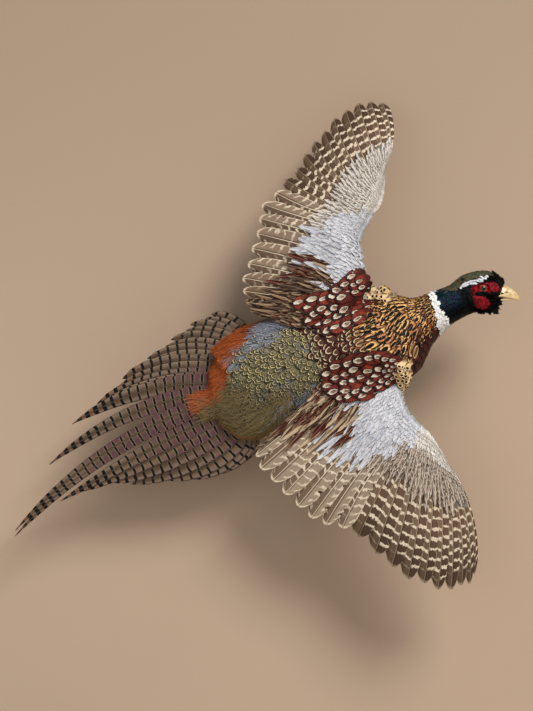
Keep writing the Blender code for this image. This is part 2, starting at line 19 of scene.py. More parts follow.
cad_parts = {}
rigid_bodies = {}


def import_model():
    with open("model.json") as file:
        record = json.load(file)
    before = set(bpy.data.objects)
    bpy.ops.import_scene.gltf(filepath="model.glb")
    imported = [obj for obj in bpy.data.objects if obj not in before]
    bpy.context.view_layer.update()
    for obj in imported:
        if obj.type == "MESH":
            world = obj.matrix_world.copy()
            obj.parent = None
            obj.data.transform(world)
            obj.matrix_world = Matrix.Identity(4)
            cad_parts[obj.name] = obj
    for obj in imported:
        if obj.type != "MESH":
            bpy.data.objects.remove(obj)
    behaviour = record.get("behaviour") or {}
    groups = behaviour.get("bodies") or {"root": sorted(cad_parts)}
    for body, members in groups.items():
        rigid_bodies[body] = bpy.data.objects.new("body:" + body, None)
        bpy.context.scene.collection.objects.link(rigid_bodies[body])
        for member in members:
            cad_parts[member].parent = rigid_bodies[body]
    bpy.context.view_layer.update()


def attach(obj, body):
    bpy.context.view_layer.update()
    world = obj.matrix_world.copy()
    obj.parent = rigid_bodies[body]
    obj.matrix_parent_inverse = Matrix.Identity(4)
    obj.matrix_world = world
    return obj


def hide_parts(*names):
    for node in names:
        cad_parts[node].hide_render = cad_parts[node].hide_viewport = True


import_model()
rng = np.random.default_rng(11)

# %% [markdown]
# ## The same curves as the solids
# Feathers have to sit on the body and the wings exactly, so the tables that shaped the solids are read
# again here. One row of the spine is a station: its middle, its roll, its half width, and the height of
# the back and of the belly. A smooth curve runs through the rows, so any place between them can be asked
# for, and whole arrays of places at once.
# %% Curves of the body
SPINE = [   # x, y, z, roll, half width, back, belly
    (-0.147, -0.113, -0.059, 0, 0.02, 0.0045, 0.0045), (-0.134, -0.113, -0.055, 0, 0.047, 0.013, 0.01),
    (-0.108, -0.114, -0.045, 0, 0.07, 0.024, 0.019), (-0.08, -0.115, -0.024, 0, 0.076, 0.034, 0.03),
    (-0.042, -0.117, -0.002, 0, 0.072, 0.043, 0.042), (-0.001, -0.118, 0.013, 4, 0.066, 0.048, 0.052),
    (0.042, -0.119, 0.028, 12, 0.061, 0.05, 0.058), (0.082, -0.121, 0.036, 24, 0.065, 0.05, 0.064),
    (0.115, -0.123, 0.044, 32, 0.071, 0.049, 0.072), (0.143, -0.127, 0.058, 43, 0.058, 0.044, 0.062),
    (0.168, -0.131, 0.07, 55, 0.035, 0.031, 0.04), (0.189, -0.135, 0.081, 66, 0.027, 0.028, 0.0285),
    (0.207, -0.139, 0.09, 75, 0.024, 0.0255, 0.0255), (0.223, -0.142, 0.098, 82, 0.022, 0.0255, 0.025),
    (0.238, -0.144, 0.106, 88, 0.0215, 0.029, 0.028), (0.254, -0.145, 0.11, 90, 0.021, 0.03, 0.031),
    (0.268, -0.145, 0.1105, 90, 0.0185, 0.028, 0.027), (0.28, -0.145, 0.11, 90, 0.0135, 0.021, 0.018),
    (0.2855, -0.145, 0.1085, 90, 0.009, 0.013, 0.012)]
LAST = len(SPINE) - 1


def unit(vectors):
    return vectors / np.linalg.norm(vectors, axis=-1, keepdims=True)


def curve(rows):
    """A smooth curve through rows of (place, values...), read at arrays of places."""
    rows = np.array(rows, float)
    at, values = rows[:, 0], rows[:, 1:]
    slopes = np.gradient(values, at, axis=0)

    def read(place):
        place = np.clip(np.asarray(place, float), at[0], at[-1])
        i = np.clip(np.searchsorted(at, place, side="right") - 1, 0, len(at) - 2)
        span = (at[i + 1] - at[i])[..., None]
        s = (place - at[i])[..., None] / span
        return ((1 + 2 * s) * (1 - s) ** 2 * values[i] + s * (1 - s) ** 2 * span * slopes[i]
                + s * s * (3 - 2 * s) * values[i + 1] + s * s * (s - 1) * span * slopes[i + 1])
    return read


spine = curve([(i, *row) for i, row in enumerate(SPINE)])


def body_frame(t):
    """Middle, heading, left, up and (half width, back, belly) of the body at stations t."""
    t = np.clip(t, 0, LAST)
    row = spine(t)
    high, low = np.clip(t + 0.05, 0, LAST), np.clip(t - 0.05, 0, LAST)
    run = (spine(high) - spine(low))[..., :3] / (high - low)[..., None]
    along = unit(run)
    viewer = np.array((0, -1.0, 0))
    flat_up = unit(viewer - along * (along @ viewer)[..., None])
    flat_left = np.cross(flat_up, along)
    roll = np.radians(row[..., 3:4])
    left = np.cos(roll) * flat_left - np.sin(roll) * flat_up
    up = np.cos(roll) * flat_up + np.sin(roll) * flat_left
    return row[..., :3], run, left, up, row[..., 4:]


def on_body(t, turn, lift):
    """Points on the body: station, turn round it (0 left, a quarter turn the back) and height above it."""
    t, turn, lift = np.broadcast_arrays(np.asarray(t, float), turn, lift)
    middle, run, left, up, size = body_frame(t)
    beyond = (t - np.clip(t, 0, LAST))[..., None]
    height = np.where(np.sin(turn) > 0, size[..., 1], size[..., 2])
    return (middle + run * beyond + left * ((size[..., 0] + lift) * np.cos(turn))[..., None]
            + up * ((height + lift) * np.sin(turn))[..., None])


def body_step(t):
    """Metres from one station to the next."""
    return np.linalg.norm(body_frame(t)[1], axis=-1)


print("body length", round(float(body_step(np.linspace(0, LAST, 200)).mean() * LAST), 3))

# %% [markdown]
# ## Wings as fans of feather lines
# A wing is easiest to think of as a fan. Line 0 lies against the body and line 22 is the leading edge.
# Each line starts on the bones' front edge, at share 0, and ends at a feather's tip, at share 1. The
# two wings differ in pose, so each has its own table.
# %% Curves of the wings
WINGS = {
    "right": {
        "roots": [(0, 0.020, -0.146, -0.012), (4, 0.065, -0.149, -0.004), (6, 0.110, -0.149, -0.004),
                  (8, 0.126, -0.152, -0.034), (9.5, 0.136, -0.158, -0.064), (12, 0.152, -0.166, -0.086),
                  (17, 0.181, -0.172, -0.112), (22, 0.210, -0.174, -0.155)],
        "tips": [(0, -0.036, -0.146, -0.083), (2.5, -0.072, -0.142, -0.112), (4.5, -0.084, -0.140, -0.137),
                 (7.5, -0.038, -0.140, -0.192), (9.5, 0.001, -0.142, -0.228), (12, 0.058, -0.145, -0.250),
                 (14.5, 0.120, -0.150, -0.303), (17.5, 0.189, -0.155, -0.334),
                 (20.5, 0.237, -0.158, -0.323), (22, 0.247, -0.160, -0.304)],
        "bow": [(0, 0.004), (8, 0.0), (12, -0.006), (17, 0.006), (22, 0.013)], "camber": 0.010},
    "left": {
        "roots": [(0, -0.002, -0.147, 0.055), (4, 0.045, -0.149, 0.080), (6, 0.077, -0.147, 0.098),
                  (8, 0.077, -0.145, 0.140), (9.5, 0.071, -0.147, 0.182), (12, 0.084, -0.147, 0.214),
                  (17, 0.104, -0.140, 0.249), (22, 0.115, -0.125, 0.300)],
        "tips": [(0, -0.057, -0.140, 0.067), (2.5, -0.094, -0.135, 0.081), (4.5, -0.105, -0.130, 0.111),
                 (7.5, -0.088, -0.122, 0.175), (10, -0.078, -0.112, 0.233), (12, -0.045, -0.100, 0.270),
                 (14.5, -0.010, -0.080, 0.323), (17, 0.029, -0.062, 0.369), (20, 0.084, -0.052, 0.404),
                 (22, 0.119, -0.050, 0.404)],
        "bow": [(0, -0.004), (8, 0.004), (12, -0.006), (17, -0.014), (22, 0.010)], "camber": 0.012}}
WING_DEPTH = curve([(0, 0.0030), (0.06, 0.0110), (0.18, 0.0140), (0.38, 0.0060), (0.55, 0.0028), (1, 0.0012)])
LINES = 22


def wing_surface(side):
    """Reads points of a wing: feather line, share along it, and which face, -1 upper or 1 under."""
    wing = WINGS[side]
    roots, tips, bow = curve(wing["roots"]), curve(wing["tips"]), curve(wing["bow"])

    def read(line, share, face, lift=0.0):
        line, share, lift = np.broadcast_arrays(np.asarray(line, float), share, lift)
        root, tip = roots(line), tips(line)
        part = share[..., None]
        point = root + (tip - root) * part
        inside = np.clip(share, 0, None)
        point[..., 1] = root[..., 1] + (tip - root)[..., 1] * inside ** 1.5
        point[..., 1] -= wing["camber"] * 4 * share * (1 - share) ** 2
        run = (tip - root) * (1, 0, 1)
        across = unit(np.stack((-run[..., 2], run[..., 1], run[..., 0]), axis=-1))
        across = across if side == "right" else -across
        point += across * (bow(line)[..., 0] * 4 * share * (1 - share))[..., None]
        taper = 0.6 + 0.4 * np.clip(line / 6, 0, 1)
        point[..., 1] += face * (WING_DEPTH(share)[..., 0] * taper / 2 + lift)
        return point
    return read


wings = {side: wing_surface(side) for side in WINGS}
print("wing lines", LINES, "tip of the left wing", np.round(wings["left"](21.5, 1.0, -1), 3))

# %% [markdown]
# ## From arrays to one mesh
# A coat has thousands of feathers, so they are made as arrays and become one mesh per zone. Each feather
# is a small grid of points. It carries two maps: `vane`, across and along the feather itself, where its
# markings are drawn, and `OFBake`, a patch of its own at its root's place on the unrolled skin. A `tone`
# number per feather makes neighbours differ.
# %% Build many small sheets as one mesh
def placed(name, mesh, material):
    """Makes a mesh a smooth piece of the object, fixed to its body."""
    mesh.polygons.foreach_set("use_smooth", np.ones(len(mesh.polygons), bool))
    mesh.materials.append(material)
    piece = bpy.data.objects.new(name, mesh)
    bpy.context.scene.collection.objects.link(piece)
    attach(piece, "root")
    return piece


def quads_of(cell):
    """Faces between neighbouring points of a grid, from the numbers of its points."""
    return np.stack((cell[:-1, :-1], cell[:-1, 1:], cell[1:, 1:], cell[1:, :-1]), axis=-1)


def web_grid(rows, columns):
    """Shares along and across a web, as a column from 0 to 1 and a row from -1 to 1."""
    return np.linspace(0, 1, rows)[:, None], np.linspace(-1, 1, columns)[None, :]


def vane_map(across, along):
    return np.stack(np.broadcast_arrays(across, along), axis=-1)


def side_by_side(count, height):
    """Places on the bake map for feathers that get a column each."""
    return np.stack(((np.arange(count) + 0.5) / count, np.full(count, height)), axis=1)


def all_facing(count, y):
    return np.tile((0, float(y), 0), (count, 1))


def sheets(name, points, vane, places, patch, tone, outward, material, thick=None):
    """points (feathers, rows, columns, 3); vane (rows, columns, 2); places (feathers, 2) and patch are
    in the unit square; outward (feathers, 3) turns every sheet's face the right way."""
    count, rows, columns = points.shape[:3]
    r, c = rows // 2, columns // 2
    facing = np.cross(points[:, r, c] - points[:, r, c - 1], points[:, r, c] - points[:, r - 1, c])
    turned = (facing * outward).sum(axis=-1) < 0
    own = np.stack(np.meshgrid(np.linspace(-0.5, 0.5, columns), np.linspace(-0.5, 0.5, rows)), axis=-1)
    vane = np.broadcast_to(vane, (count, rows, columns, 2)).copy()
    bake = places[:, None, None, :] + own * np.broadcast_to(patch, (count, 2))[:, None, None, :]
    for grid in (points, vane, bake):
        grid[turned] = grid[turned, :, ::-1]
    if thick is not None:
        under = points - outward[:, None, None, :] * thick
        points = np.stack((points, under[:, :, ::-1]), axis=1).reshape(-1, rows, columns, 3)
        vane = np.stack((vane, vane[:, :, ::-1]), axis=1).reshape(-1, rows, columns, 2)
        low = bake[:, :, ::-1] + (0, 0.5)
        bake = np.stack((bake, low), axis=1).reshape(-1, rows, columns, 2)
        tone, count = np.repeat(tone, 2), count * 2
    cell = np.arange(rows * columns).reshape(rows, columns)
    quads = quads_of(cell).reshape(-1, 4)
    faces = (quads[None] + (np.arange(count) * rows * columns)[:, None, None]).reshape(-1, 4)
    mesh = bpy.data.meshes.new(name)
    mesh.vertices.add(count * rows * columns)
    mesh.vertices.foreach_set("co", points.astype(np.float32).ravel())
    mesh.loops.add(faces.size)
    mesh.loops.foreach_set("vertex_index", faces.astype(np.int32).ravel())
    mesh.polygons.add(len(faces))
    mesh.polygons.foreach_set("loop_start", np.arange(0, faces.size, 4, dtype=np.int32))
    mesh.update(calc_edges=True)
    for map_name, values in (("vane", vane), ("OFBake", bake)):
        layer = mesh.uv_layers.new(name=map_name)
        layer.data.foreach_set("uv", values.reshape(-1, 2)[faces.ravel()].astype(np.float32).ravel())
    shade = mesh.attributes.new("tone", "FLOAT", "POINT")
    shade.data.foreach_set("value", np.repeat(tone, rows * columns).astype(np.float32))
    print(f"{name}: {count} sheets, {2 * len(faces)} triangles")
    return placed(name, mesh, material)


# %% [markdown]
# ## The outline of a vane
# One template serves a whole zone. The rows of the grid bow back at the edges, so that the last row is
# the rounded tip and a marking that follows the rows follows the tip too. A little random length along
# the margin frays it, because real barbs part there.
# %% Template of a feather
def blade(rows, columns, pointed=0.35, waist=0.25, rise=3.0, round_by=2.3):
    """(along 0..1, across -1..1, vane map) of one feather."""
    v, u = web_grid(rows, columns)
    along = v * (1 - pointed * np.abs(u) ** round_by * v ** 2)
    across = u * np.minimum(1, (rise * v + 0.12) ** 0.7) * (1 - waist * v ** 3)
    return along, across, vane_map(u / 2 + 0.5, v)


def frayed(along, count, amount):
    """The same outline for each feather, with its outer margin uneven."""
    v, u = web_grid(*along.shape)
    rough = rng.uniform(-1, 1, (count, *along.shape)) * amount * v ** 2 * (0.35 + 0.65 * np.abs(u))
    return along[None] + rough


print("a long feather's outline has", blade(7, 5)[2].shape[:2], "points")


# %% [markdown]
# ## Laying a feather on the body
# The skin is unrolled in the mind: stations run along it, turns run round it. A feather's length and
# breadth in metres become small steps of station and turn from its root, so it wraps round the body by
# itself, and rising steadily from root to tip it lies over the next row like a roof tile.
# %% Rows of places and feathers on the body
RING_POINTS = 241
LEAST_RADIUS = 0.008


def row_places(t_from, t_to, spacing, beside, turns=(0.0, 2 * math.pi), jitter=0.12):
    """Staggered roots: arrays of t, turn and the patch each may fill. turns is a range round the body."""
    found, t, odd = [], t_to, 0
    while t > t_from:
        here = spacing(t) if callable(spacing) else spacing
        wide = beside(t) if callable(beside) else beside
        ring = np.linspace(*turns, RING_POINTS)
        points = on_body(t, ring, 0.0)
        walked = np.concatenate(([0], np.cumsum(np.linalg.norm(np.diff(points, axis=0), axis=1))))
        count = max(int(walked[-1] / wide), 1)
        at = (np.arange(count) + (0.5 if odd else 0.0) + 0.25) / count * walked[-1]
        turn = np.interp(at, walked, ring)
        size = float(body_step(np.array(t)))
        found.append(np.stack((np.full(count, t), turn, np.full(count, here / size),
                               np.full(count, (turns[1] - turns[0]) / count)), axis=1))
        t, odd = t - here / size, 1 - odd
    found = np.concatenate(found)
    shift = rng.uniform(-jitter, jitter, (len(found), 2)) * found[:, 2:]
    return found[:, 0] + shift[:, 0], found[:, 1] + shift[:, 1], found[:, 2:]


def body_vanes(t, turn, length, half_width, shape, heading=0.0,
               root=-0.0008, tip=0.0022, cup=0.0008, fray=0.05):
    """Points of feathers that start at (t, turn) and lie tailwards along the body."""
    along, across = shape[0], shape[1]
    count = len(t)
    length, half_width, heading, tip = (np.broadcast_to(a, count)[:, None, None]
                                        for a in (length, half_width, heading, tip))
    p = length * frayed(along, count, fray)
    q = half_width * across[None]
    down, side = p * np.cos(heading) - q * np.sin(heading), p * np.sin(heading) + q * np.cos(heading)
    size = body_frame(t)[-1]
    height = np.where(np.sin(turn) > 0, size[:, 1], size[:, 2])
    round_body = np.hypot(size[:, 0] * np.sin(turn), height * np.cos(turn))
    v, u = shape[2][..., 1][None], shape[2][..., 0][None] * 2 - 1
    lift = root + (tip - root) * v - cup * u ** 2 * v
    return on_body(t[:, None, None] - down / body_step(t)[:, None, None],
                   turn[:, None, None] + side / np.maximum(round_body, LEAST_RADIUS)[:, None, None], lift)


def outward_on_body(t, turn):
    return unit(on_body(t, turn, 0.004) - on_body(t, turn, 0.0))


def body_map(t, turn, cells):
    """Places and patch sizes of feathers on the unrolled skin, spread over the unit square."""
    turn = np.mod(turn, 2 * math.pi)
    low = np.array((t.min(), turn.min())) - cells.max(axis=0)
    span = np.array((t.max(), turn.max())) + cells.max(axis=0) - low
    return (np.stack((t, turn), axis=1) - low) / span, 0.8 * cells / span


print("feathers can be laid in rows")


# %% [markdown]
# ## A few words for wiring materials
# Every finish here is a small drawing made with nodes. Wiring them by hand takes many lines, so each of
# these functions adds one node to the newest finish and returns its output as a `Wire`. A wire can be
# added, multiplied and so on like a number, and each sign adds a Math node, so finishes read like sums.
# %% Node helper
def srgb(red, green, blue):
    """A screen colour of 0 to 255 as the linear colour a shader wants."""
    values = [c / 255 for c in (red, green, blue)]
    return tuple(c / 12.92 if c <= 0.04045 else ((c + 0.055) / 1.055) ** 2.4 for c in values) + (1.0,)


class Wire:
    """An output of a node, to reckon with."""

    def __init__(self, socket):
        self.socket = socket

    def __add__(self, other):
        return maths("ADD", self, other)

    def __mul__(self, other):
        return maths("MULTIPLY", self, other)

    def __sub__(self, other):
        return maths("SUBTRACT", self, other)

    def __rsub__(self, other):
        return maths("SUBTRACT", other, self)

    def __truediv__(self, other):
        return maths("DIVIDE", self, other)

    def __abs__(self):
        return maths("ABSOLUTE", self)


class Finish:
    """A material being drawn."""

    def __init__(self, name, roughness=0.6, **shader):
        Finish.newest = self
        self.material = bpy.data.materials.new(name)
        self.material.use_nodes = True
        self.tree = self.material.node_tree
        self.shader = self.tree.nodes["Principled BSDF"]
        for socket, value in {"Roughness": roughness, **shader}.items():
            join(self.shader.inputs[socket.replace("_", " ")], value)

    def done(self, colour, height=None, strength=0.4, distance=0.0005):
        join(self.shader.inputs["Base Color"], colour)
        if height is not None:
            bump = {"Height": height, "Strength": strength, "Distance": distance}
            join(self.shader.inputs["Normal"], add_node("ShaderNodeBump", 0, bump))
        return self.material


def join(socket, value):
    """Leads a wire to a socket, or gives the socket a plain value."""
    if isinstance(value, Wire):
        Finish.newest.tree.links.new(value.socket, socket)
    else:
        socket.default_value = value


def add_node(kind, output, inputs, **settings):
    new = Finish.newest.tree.nodes.new(kind)
    for name, value in settings.items():
        setattr(new, name, value)
    for key, value in inputs.items():
        join(new.inputs[key], value)
    return Wire(new.outputs[output])


def maths(operation, a, b=0.0):
    return add_node("ShaderNodeMath", 0, {0: a, 1: b}, operation=operation)


def most(a, b):
    return maths("MAXIMUM", a, b)


def between(value, low, high):
    """0 below low, 1 above high, smooth between. low may be the larger."""
    flip = low > high
    ends = {"From Min": min(low, high), "From Max": max(low, high),
            "To Min": 1.0 if flip else 0.0, "To Max": 0.0 if flip else 1.0}
    return add_node("ShaderNodeMapRange", 0, {"Value": value, **ends}, interpolation_type="SMOOTHSTEP")


def mix(share, first, second):
    """From first to second by share. A plain colour is three numbers from 0 to 255."""
    first, second = (srgb(*c) if isinstance(c, tuple) and len(c) == 3 else c for c in (first, second))
    return add_node("ShaderNodeMix", 2, {0: share, 6: first, 7: second}, data_type="RGBA")


def attribute(name):
    return add_node("ShaderNodeAttribute", "Fac", {}, attribute_name=name)


def parts(place):
    """X, Y and Z of a place."""
    x = add_node("ShaderNodeSeparateXYZ", 0, {0: place})
    return [x] + [Wire(x.socket.node.outputs[i]) for i in (1, 2)]


def web_place():
    """Place on a feather's web: across it from -1 to 1, and along it from 0 to 1."""
    across, along = parts(add_node("ShaderNodeUVMap", 0, {}, uv_map="vane"))[:2]
    return across * 2.0 - 1.0, along


def object_place():
    return add_node("ShaderNodeTexCoord", "Object", {})


def stretched(place, scale):
    return add_node("ShaderNodeMapping", 0, {"Vector": place, "Scale": scale})


def noise(place, scale, detail=2.0):
    return add_node("ShaderNodeTexNoise", 0, {"Vector": place, "Scale": scale, "Detail": detail})


def combine(x, y, z):
    return add_node("ShaderNodeCombineXYZ", 0, {0: x, 1: y, 2: z})


print("node helper ready")

# %% [markdown]
# ## How a feather takes its colour
# A feather is a shaft with two webs of parallel barbs. All plumage here shares that build: fine ridges
# slant away from the shaft, the grain of the colour follows them, and the edge wears paler. Only the
# drawing on the web differs from zone to zone, so each zone hands in a small drawing of its own.
# %% Feather finish shared by every zone
def plumage(name, drawing, roughness=0.62, barbs=30, slant=0.45, relief=0.35,
            shaft=True, deepen=1.16, shine=0.18, **shader):
    """Draws a zone's colours and the barbs' ridges. deepen is a gamma that makes the colours fuller."""
    f = Finish(name, roughness, Specular_IOR_Level=shine, **shader)
    u, v = web_place()
    side, tone = abs(u), attribute("tone")
    barb = v - side * slant
    across = u * 1.3 + tone * 31.0
    grain = noise(combine(across, barb * (barbs * 0.45), tone), 1.0, 3.0)
    colour = drawing(u, v, side, grain, tone)
    ridge = maths("SINE", barb * (barbs * math.tau))
    height = grain * 0.8 + ridge * 0.25
    if shaft:
        height = height + between(side, 0.10, 0.0)
    deep = add_node("ShaderNodeGamma", 0, {"Color": colour, "Gamma": deepen})
    return f.done(deep, height, relief)


def oval(u, v, middle, half_u, half_v, rough=0.0, grain=None):
    """Distance from an oval on the web: 1 on its edge."""
    a = u / half_u
    b = (v - middle) / half_v
    away = maths("SQRT", a * a + b * b)
    if grain is not None:
        away = away + grain * (rough * 2) - rough
    return away


def band(value, low, high, soft):
    """1 between low and high, 0 outside."""
    return between(value, low - soft, low + soft) * between(value, high + soft, high - soft)


# %% [markdown]
# ## Drawings of the back
# The scapulars are the boldest feathers of the bird: chestnut, with a cream eye bounded by a thin black
# line. The mantle's are gold with a black drop and dark notches, the middle back's are brown with a
# cream horseshoe, and the rump's are grey green with a fine straw coloured crescent. Each function here
# draws one of them from the place on the web: u across it, v along it, side off the shaft, and two
# numbers for chance, grain along the barbs and tone for the whole feather.
# %% Finishes of the back
def shaded_root(v, colour, until=0.55, depth=0.55):
    """Paints shade on the part of a feather that lies under its neighbours: a painted shadow, darker towards
    the root.
    """
    dark = mix(depth, colour, (0.004, 0.003, 0.003, 1))
    return mix(between(v, until, until - 0.3), colour, dark)


def second_chance(tone):
    """Another number from 0 to 1 for each feather, made from its first."""
    return maths("FRACT", tone * 17.3)


def scapular_drawing(u, v, side, grain, tone):
    other = second_chance(tone)
    aside = u + other * 0.30 - 0.15
    taper = aside * (between(v, 0.80, 0.45) * 0.7 + 1.0)
    eye = oval(taper, v, 0.685, tone * 0.20 + 0.27, 0.215, 0.44, grain)
    chestnut = mix(tone, (164, 72, 44), (108, 40, 27))
    chestnut = mix(between(grain, 0.30, 0.75), chestnut, (84, 28, 17))
    streak = grain * 0.34 + v - between(side, 0.16, 0.04) * 0.14
    rim = between(eye, 0.48, 0.80) * between(v, 0.44, 0.62)
    white = most(between(streak, 0.84, 1.04), rim * (grain * 0.5 + 0.5))
    white = most(white, between(other, 0.40, 0.90) * between(streak + aside, 0.60, 1.05))
    pale = mix(white, mix(grain, (86, 56, 44), (160, 130, 108)), (226, 215, 197))
    line = mix(between(eye, 1.38, 1.24), chestnut, (16, 7, 6))
    # painted shade: the rim and tip of every scapular are darkened, as the gaps between the feathers lie in
    # shade
    line = mix(between(most(side, v), 0.80, 0.97) * 0.9, line, (30, 9, 7))
    return shaded_root(v, mix(between(eye, 1.06, 0.94), line, pale), 0.50, 0.6)


def mantle_drawing(u, v, side, grain, tone):
    other = second_chance(tone)
    gold = mix(between(tone, 0.30, 0.90), (250, 198, 130), (188, 118, 76))
    gold = mix(between(grain, 0.40, 0.80) * 0.8, gold, (240, 206, 154))
    gold = mix(between(most(side, v), 0.90, 1.0), gold, (60, 34, 24))
    drop = oval(u, v, 0.74, other * 0.38 + 0.27, 0.32 - other * 0.08, 0.40, grain)
    notch = between(grain * 0.40 + side, 0.74, 0.90) * band(v, 0.30, 0.84, 0.05)
    marks = most(between(drop, 1.1, 0.9), notch)
    pale = between(grain * 0.2 + side, 0.16, 0.06) * between(other, 0.70, 0.74)
    inked = mix(marks * (1.0 - pale), gold, (14, 11, 11))
    return shaded_root(v, inked, 0.50, 0.7)


def pale_mantle_drawing(u, v, side, grain, tone):
    cream = mix(tone, (236, 206, 156), (206, 158, 98))
    cream = mix(between(grain, 0.35, 0.8), cream, (240, 224, 190))
    drop = oval(u, v, 0.86, 0.50, 0.10, 0.35, grain)
    notch = between(grain * 0.25 + side, 0.80, 0.92) * band(v, 0.45, 0.80, 0.05)
    marks = most(between(drop, 1.1, 0.9), notch)
    return shaded_root(v, mix(marks, cream, (20, 14, 12)), 0.5, 0.7)


def cape_drawing(u, v, side, grain, tone):
    ring = oval(u, v, 0.62, 0.74, 0.34, 0.08, grain)
    brown = mix(tone, (158, 98, 56), (104, 48, 30))
    inner = mix(grain, (104, 78, 58), (178, 144, 100))
    filled = mix(between(ring, 0.66, 0.56), brown, inner)
    lined = mix(band(ring, 0.84, 1.14, 0.05), filled, (16, 11, 10))
    pale = mix(band(ring, 0.66, 0.78, 0.05), lined, (222, 200, 156))
    streak = between(side, 0.16, 0.06) * between(v, 0.86, 0.78)
    return shaded_root(v, mix(streak, pale, (26, 18, 14)), 0.5, 0.7)


def back_drawing(u, v, side, grain, tone):
    ring = oval(u, v, 0.66, 0.66, 0.26, 0.12, grain)
    outer = mix(tone, (104, 42, 30), (64, 24, 18))
    inner = mix(grain, (64, 48, 42), (108, 74, 58))
    shoe = band(ring, 0.64, 0.88, 0.07) * between(v, 0.54, 0.70)
    shoe = shoe * between(tone, 0.92, 0.75)
    filled = mix(between(ring, 0.75, 0.6), outer, inner)
    dark = mix(band(ring, 0.88, 1.22, 0.06), filled, (24, 11, 9))
    return shaded_root(v, mix(shoe, dark, (214, 196, 164)), 0.5, 0.6)


def rump_drawing(u, v, side, grain, tone):
    green = mix(between(tone, 0.2, 0.9), (136, 130, 98), (156, 149, 124))
    blue = between(noise(object_place(), 60.0, 1.0), 0.56, 0.66)
    along, across, height = parts(object_place())
    rise = grain * 0.012 + height - (along * 0.57 + 0.080)
    blue = most(blue, between(rise, -0.010, 0.004) * 1.25)
    green = mix(blue * 0.7, green, (124, 134, 150))
    green = mix(between(grain, 0.3, 0.8), green, (92, 84, 58))
    # painted shade: the rump is darkened towards the bottom, next to the hanging wing, as if in shadow; it is
    # mixed in at the end
    low = between(height, -0.015, -0.080)
    ring = oval(u, v, 0.66, 0.70, 0.26, 0.05, grain)
    tip = between(v, 0.56, 0.70)
    crescent = band(ring, 0.80, 1.06, 0.07) * tip
    straw = mix(tone, (224, 206, 152), (170, 154, 112))
    dark = mix(band(ring, 0.46, 0.74, 0.08) * tip, green, (54, 50, 36))
    dark = mix(band(ring, 1.10, 1.34, 0.08) * tip, dark, (36, 32, 22))
    shown = crescent * between(tone, 1.0, 0.75)
    shown = shown * between(grain, 0.25, 0.45)
    marked = mix(low * 0.62, mix(shown, dark, straw), (50, 40, 28))
    return shaded_root(v, marked, 0.55, 0.6)


scapular_finish = plumage("scapular_feather", scapular_drawing)
mantle_finish = plumage("mantle_feather", mantle_drawing)
pale_mantle_finish = plumage("pale_mantle_feather", pale_mantle_drawing)
cape_finish = plumage("cape_feather", cape_drawing)
back_finish = plumage("back_feather", back_drawing)
rump_finish = plumage("rump_feather", rump_drawing)
print("finishes of the back ready")

# %% [markdown]
# ## Plainer drawings
# Breast, belly, collar, neck and crown need no bold marks. They live from a base colour that wanders
# along the barbs, a second colour at the rim, and the right gloss: the neck is nearly metallic, the
# white collar is chalky. One function makes them all from two or three colours.
# %% Finishes of plain zones
def plain(name, first, second, rim, rim_from=0.75, roughness=0.6, relief=0.3, **shader):
    def drawing(u, v, side, grain, tone):
        base = mix(tone, first, second)
        base = mix(between(grain, 0.35, 0.8) * 0.5, base, rim)
        return mix(between(most(side, v), rim_from, 1.0), base, rim)
    return plumage(name, drawing, roughness, relief=relief, **shader)


breast_finish = plain("breast_feather", (92, 20, 20), (56, 12, 15), (20, 5, 10), 0.84, 0.5)
rust_finish = plain("rust_feather", (184, 90, 36), (140, 60, 24), (92, 36, 16), 0.9, 0.7)
flank_finish = plain("flank_feather", (176, 106, 50), (140, 74, 34), (26, 14, 12), 0.82, 0.5)
belly_finish = plain("belly_feather", (48, 36, 28), (34, 26, 22), (70, 52, 38), 0.85, 0.75)
collar_finish = plain("collar_feather", (250, 249, 246), (240, 239, 236), (226, 224, 222), 0.9, 0.7)
brow_finish = plain("brow_feather", (240, 240, 242), (214, 216, 222), (176, 178, 186), 0.9, 0.7)


def crown_drawing(u, v, side, grain, tone):
    clouds = noise(object_place(), 130.0, 2.0)
    brown = mix(tone, (122, 104, 76), (84, 76, 56))
    green = mix(between(clouds, 0.52, 0.60), brown, (66, 92, 78))
    dark = mix(between(clouds, 0.46, 0.38), green, (46, 42, 32))
    return mix(between(side, 0.6, 0.95) * 0.6, dark, (30, 30, 24))


crown_finish = plumage("crown_feather", crown_drawing)
face_finish = plain("face_feather", (6, 9, 12), (10, 18, 20), (2, 3, 5), 0.7, 0.5, shine=0.10)
print("finishes of breast, belly, collar and head ready")

# %% [markdown]
# ## The gloss of the neck
# The neck's blue, green and violet are structural colours: thin films in the barbs, which show most where
# a feather faces the light. Here that coloured sheen is painted: it shows only on the upper side of the
# neck and towards each feather's tip, over a dark base, with a half metallic finish. Nothing in it depends
# on the camera.
# %% Glossy finish of the neck
def neck_drawing(u, v, side, grain, tone):
    blue = mix(between(tone, 0.25, 0.6), (10, 24, 50), (4, 50, 66))
    green = mix(between(tone, 0.80, 0.98), blue, (16, 46, 34))
    violet = mix(between(tone, 0.14, 0.04), green, (44, 26, 66))
    along, across, height = parts(object_place())
    # painted sheen: the coloured gloss is painted only on the upper side of the neck and towards each
    # feather's tip; elsewhere the neck stays near black
    painted_sheen = between(height - along * 0.45, -0.022, 0.004)
    shine = painted_sheen * between(grain * 0.5 + v, 0.75, 1.15)
    return mix(shine, (4, 7, 11), violet)


neck_finish = plumage("neck_feather", neck_drawing, roughness=0.42, relief=0.25, deepen=1.08,
                      shine=0.12, Metallic=0.3)
print("neck finish ready")

